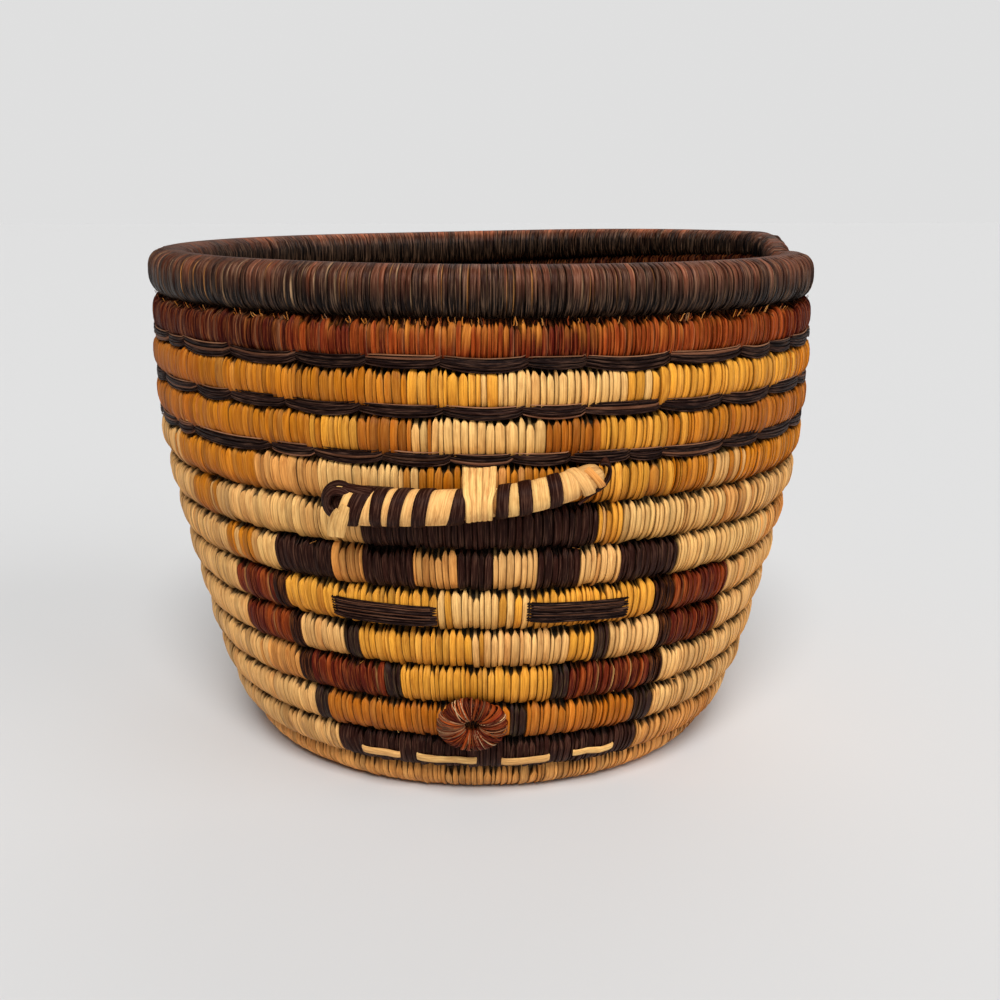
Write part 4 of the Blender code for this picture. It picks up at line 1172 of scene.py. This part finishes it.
def nose_frame():
    """Centre of the rosette, and its directions to the side, up and out."""
    places = [path_at(turn_of(NOSE_COURSE + step)) for step in (1, 0, -1)]
    low, middle, high = [on_azimuth(0, place[0], place[1]) for place in places]
    up = unit(high - low)
    out = np.array((0.0, -1.0, 0.0))
    out = unit(out - up * (out @ up))
    seat = max((point - middle) @ out + place[3] * 1.014 for point, place in zip((low, middle, high), places))
    back = NOSE_RING_THICKNESS * NOSE_SQUASH[2]
    centre = middle + out * (seat + back - 0.0004) + up * NOSE_LIFT + np.array((NOSE_SHIFT, 0.0, 0.0))
    return centre, np.cross(up, out), up, out


def nose_point(angle, minor, thick, frame_of_nose, radius=NOSE_RING_RADIUS):
    """Points of the rosette: round the ring by angle, and round its section by minor, from outside."""
    centre, side, up, out = frame_of_nose
    far = radius + thick * np.cos(minor)
    flat = far[..., None] * (np.cos(angle)[..., None] * side * NOSE_SQUASH[0]
                             + np.sin(angle)[..., None] * up * NOSE_SQUASH[1])
    return centre + flat + (thick * np.sin(minor))[..., None] * out * NOSE_SQUASH[2]


def nose_thinned(sweep):
    """Part of the ring's thickness that is missing towards its hole."""
    return NOSE_HOLE * (1 - np.cos(sweep)) / 2


def nose_line(angle, sweep, size, frame_of_nose):
    """A line over the ring, and the direction from the ring's middle to each of its points."""
    line = nose_point(angle, sweep, NOSE_RING_THICKNESS * size, frame_of_nose)
    return line, line - nose_point(angle, sweep, 0, frame_of_nose)


def make_nose():
    """A rosette of splints that run from its hole over the front to its edge."""
    rng = np.random.default_rng(77)
    placed = nose_frame()
    skin = Skin(rng)
    angle = np.linspace(0, 2 * math.pi, 49)[:-1]
    minor = np.linspace(0, 2 * math.pi, 13)[:-1]
    core = nose_point(angle[:, None], minor, NOSE_RING_THICKNESS * 0.86, placed)
    # painted shade: the core is darkened where it shows between the rays
    skin.add_tube(core, linear("maroon") * 0.28, core * GRAIN, ring=True)
    # painted shade: a dark disc in the hole
    plug = nose_point(angle, np.array(((-0.9,), (-0.3,))), NOSE_PLUG, placed, radius=0.0)
    skin.add_tube(plug, linear("black") * 0.3, plug * GRAIN)
    edges = np.cumsum(rng.uniform(0.6, 1.5, NOSE_RAYS))
    edges = edges / edges[-1] * 2 * math.pi
    for start, end in zip([0.0, *edges], edges):
        sweep = np.linspace(math.pi * 1.12, -math.pi * 0.30, 15)
        angle = (start + end) / 2 + rng.normal(0, 0.10) * np.cos(sweep) * 0.6
        size = (0.90 + rng.uniform(-0.14, 0.12)) * (1 - nose_thinned(sweep))
        line, outward = nose_line(angle, sweep, size, placed)
        room = np.linalg.norm(np.cross(placed[3], line - placed[0]), axis=1)
        half = np.clip(room * (end - start) / 2 * rng.uniform(0.62, 1.0), 0.00012, 0.0011)
        skin.add_ribbon(line, outward, half, 0.00036, pick(rng, *NOSE_MIX), tone=0.32)
    for _ in range(NOSE_FINE_RAYS):
        sweep = np.linspace(math.pi * rng.uniform(0.75, 1.05), -math.pi * rng.uniform(-0.12, 0.22), 11)
        angle = rng.uniform(0, 2 * math.pi) + rng.normal(0, 0.09) * np.cos(sweep)
        line, outward = nose_line(angle, sweep, 1.05 - nose_thinned(sweep), placed)
        shade = pick(rng, *NOSE_FINE_MIX)
        skin.add_ribbon(line, outward, rng.uniform(0.00010, 0.00024), 0.00016, shade, ROUND_PROFILE, 0.25)
    skin.build("nose_rosette_splints", "maroon", "nose_rosette")


# Frayed fibres

FIBRES = 150
TIP_FIBRES = 110                # that stand up from the upper ends of the maroon splints
TIP_FIBRE_MIX = (("flame", "tan", "rust", "edge"), (0.3, 0.25, 0.3, 0.15))


def make_fibres():
    """Fine ends of splints that stand off the stitches."""
    rng = np.random.default_rng(501)
    skin = Skin(rng)
    for _ in range(FIBRES):
        turn = rng.uniform(SETTLE_TURNS + 1, TURNS - 1)
        angle = rng.choice((-48.0, 50.0, 62.0)) + rng.uniform(-8, 8)
        length = rng.uniform(0.0012, 0.0032)
        steps = np.linspace(0, 1, 7)
        radius, _, _, thick = path_at(turn)
        bend = np.cumsum(rng.normal(0, 0.35, 7)) * length * 0.25
        run = steps * length * rng.choice((-1, 1)) * rng.uniform(0.2, 1.0) + bend
        along = turn + run / (2 * math.pi * radius)
        reach = thick + 0.0002 + steps ** 1.6 * length * rng.uniform(0.15, 0.6)
        swing = np.radians(angle + steps * rng.uniform(-18, 18))
        line = beside_coil(along, reach * np.cos(swing), reach * np.sin(swing))
        beyond = beside_coil(along, (reach + 0.01) * np.cos(swing), (reach + 0.01) * np.sin(swing))
        shade = "maroon" if TURNS - 2 < turn else ("ivory", "tan")[rng.integers(2)]
        half = rng.uniform(0.00007, 0.00016) * (1.1 - 0.6 * steps)
        skin.add_ribbon(line, beyond - line, half, 0.00007, shade, ROUND_PROFILE)
    for _ in range(TIP_FIBRES):
        turn = turn_of(2, rng.normal(5, 42))
        radius, _, _, thick = path_at(turn)
        steps = np.linspace(0, 1, 6)
        along = turn + np.cumsum(rng.normal(0, 0.00012, 6)) / (2 * math.pi * radius)
        length = rng.uniform(0.0010, 0.0024)
        line = beside_coil(along, thick * 0.74 + steps * 0.0010, thick * 0.70 + steps * length)
        shade = pick(rng, *TIP_FIBRE_MIX)
        half = rng.uniform(0.00010, 0.00022) * (1.1 - 0.7 * steps)
        outward = on_azimuth(SEAM_ANGLE - 360 * along, 1.0, 0.0)
        skin.add_ribbon(line, outward, half, 0.00008, shade, ROUND_PROFILE)
    skin.build("frayed_fibres", "cream")


# Stage, light and camera

CAMERA_DISTANCE = 0.4349
CAMERA_HEIGHT = 0.1764
CAMERA_PITCH = 13.58            # degrees down
CAMERA_TURN = 1.05              # degrees round the basket, to the right
CAMERA_ROLL = -0.1
CAMERA_LENS = 46.85             # millimetres, on a sensor 36 mm wide
CAMERA_SHIFT = 0.018
FLOOR_SIZE = 12.0
FLOOR_SHADE = 0.68
SKY_LIGHT = 0.21
SKY_SEEN = 0.74
# Name, where it shines from, its spread in degrees and its strength
LAMPS = (("key_lamp", (0.02, -0.86, 1.03), 28, 2.95), ("right_lamp", (0.95, -0.50, 0.50), 45, 0.88),
         ("back_lamp", (0.2, 1.0, 0.9), 45, 0.35))


def make_stage():
    bpy.ops.mesh.primitive_plane_add(size=FLOOR_SIZE, location=(0, 0, -0.0002))
    floor = bpy.context.object
    floor.name = "floor"
    material = bpy.data.materials.new("floor")
    material.use_nodes = True
    set_inputs(material.node_tree.nodes["Principled BSDF"],
               {"Base Color": (FLOOR_SHADE, FLOOR_SHADE, FLOOR_SHADE, 1), "Roughness": 0.9})
    floor.data.materials.append(material)


def add_lamp(name, place, spread, power):
    """A far soft lamp, so that the floor is lit evenly up to the horizon."""
    lamp = bpy.data.lights.new(name, "SUN")
    lamp.angle = math.radians(spread)
    lamp.energy = power
    holder = bpy.data.objects.new(name, lamp)
    holder.rotation_euler = (-Vector(place)).to_track_quat("-Z", "Y").to_euler()
    bpy.context.scene.collection.objects.link(holder)


def make_light():
    """Soft light from above the viewer, and a sky that a camera sees in the colour of the lit floor."""
    for lamp in LAMPS:
        add_lamp(*lamp)
    world = bpy.data.worlds.new("world")
    bpy.context.scene.world = world
    world.use_nodes = True
    nodes = world.node_tree.nodes
    set_inputs(nodes["Background"], {"Color": (1, 1, 1, 1), "Strength": SKY_LIGHT})
    seen = nodes.new("ShaderNodeBackground")
    set_inputs(seen, {"Color": (1, 1, 1, 1), "Strength": SKY_SEEN})
    rays = nodes.new("ShaderNodeLightPath")
    choice = nodes.new("ShaderNodeMixShader")
    set_inputs(choice, {0: rays.outputs["Is Camera Ray"], 1: nodes["Background"].outputs[0],
                        2: seen.outputs[0]})
    set_inputs(nodes["World Output"], {0: choice.outputs[0]})
    bpy.context.scene.view_settings.view_transform = "Standard"


def make_camera():
    camera = bpy.data.objects.new("camera", bpy.data.cameras.new("camera"))
    camera.data.lens = CAMERA_LENS
    camera.data.shift_x = CAMERA_SHIFT
    camera.location = on_azimuth(CAMERA_TURN, CAMERA_DISTANCE, CAMERA_HEIGHT)
    turned = Euler((math.radians(90 - CAMERA_PITCH), 0, math.radians(CAMERA_TURN))).to_matrix()
    turned = turned @ Euler((0, 0, math.radians(CAMERA_ROLL))).to_matrix()
    camera.rotation_euler = turned.to_euler()
    camera.data.clip_start = 0.01
    bpy.context.scene.collection.objects.link(camera)
    bpy.context.scene.camera = camera


make_camera()
make_stage()
make_light()
make_bundle()
make_knot()
sew_everything()
for number, strip in enumerate(STRIPS):
    make_strip(*strip, seed=900 + number)
make_roll()
for number, eye_bar in enumerate(EYES):
    make_eye(eye_bar, seed=40 + number)
for number, tooth_bar in enumerate(TEETH):
    make_tooth(tooth_bar, seed=60 + number)
make_nose()
make_fibres()
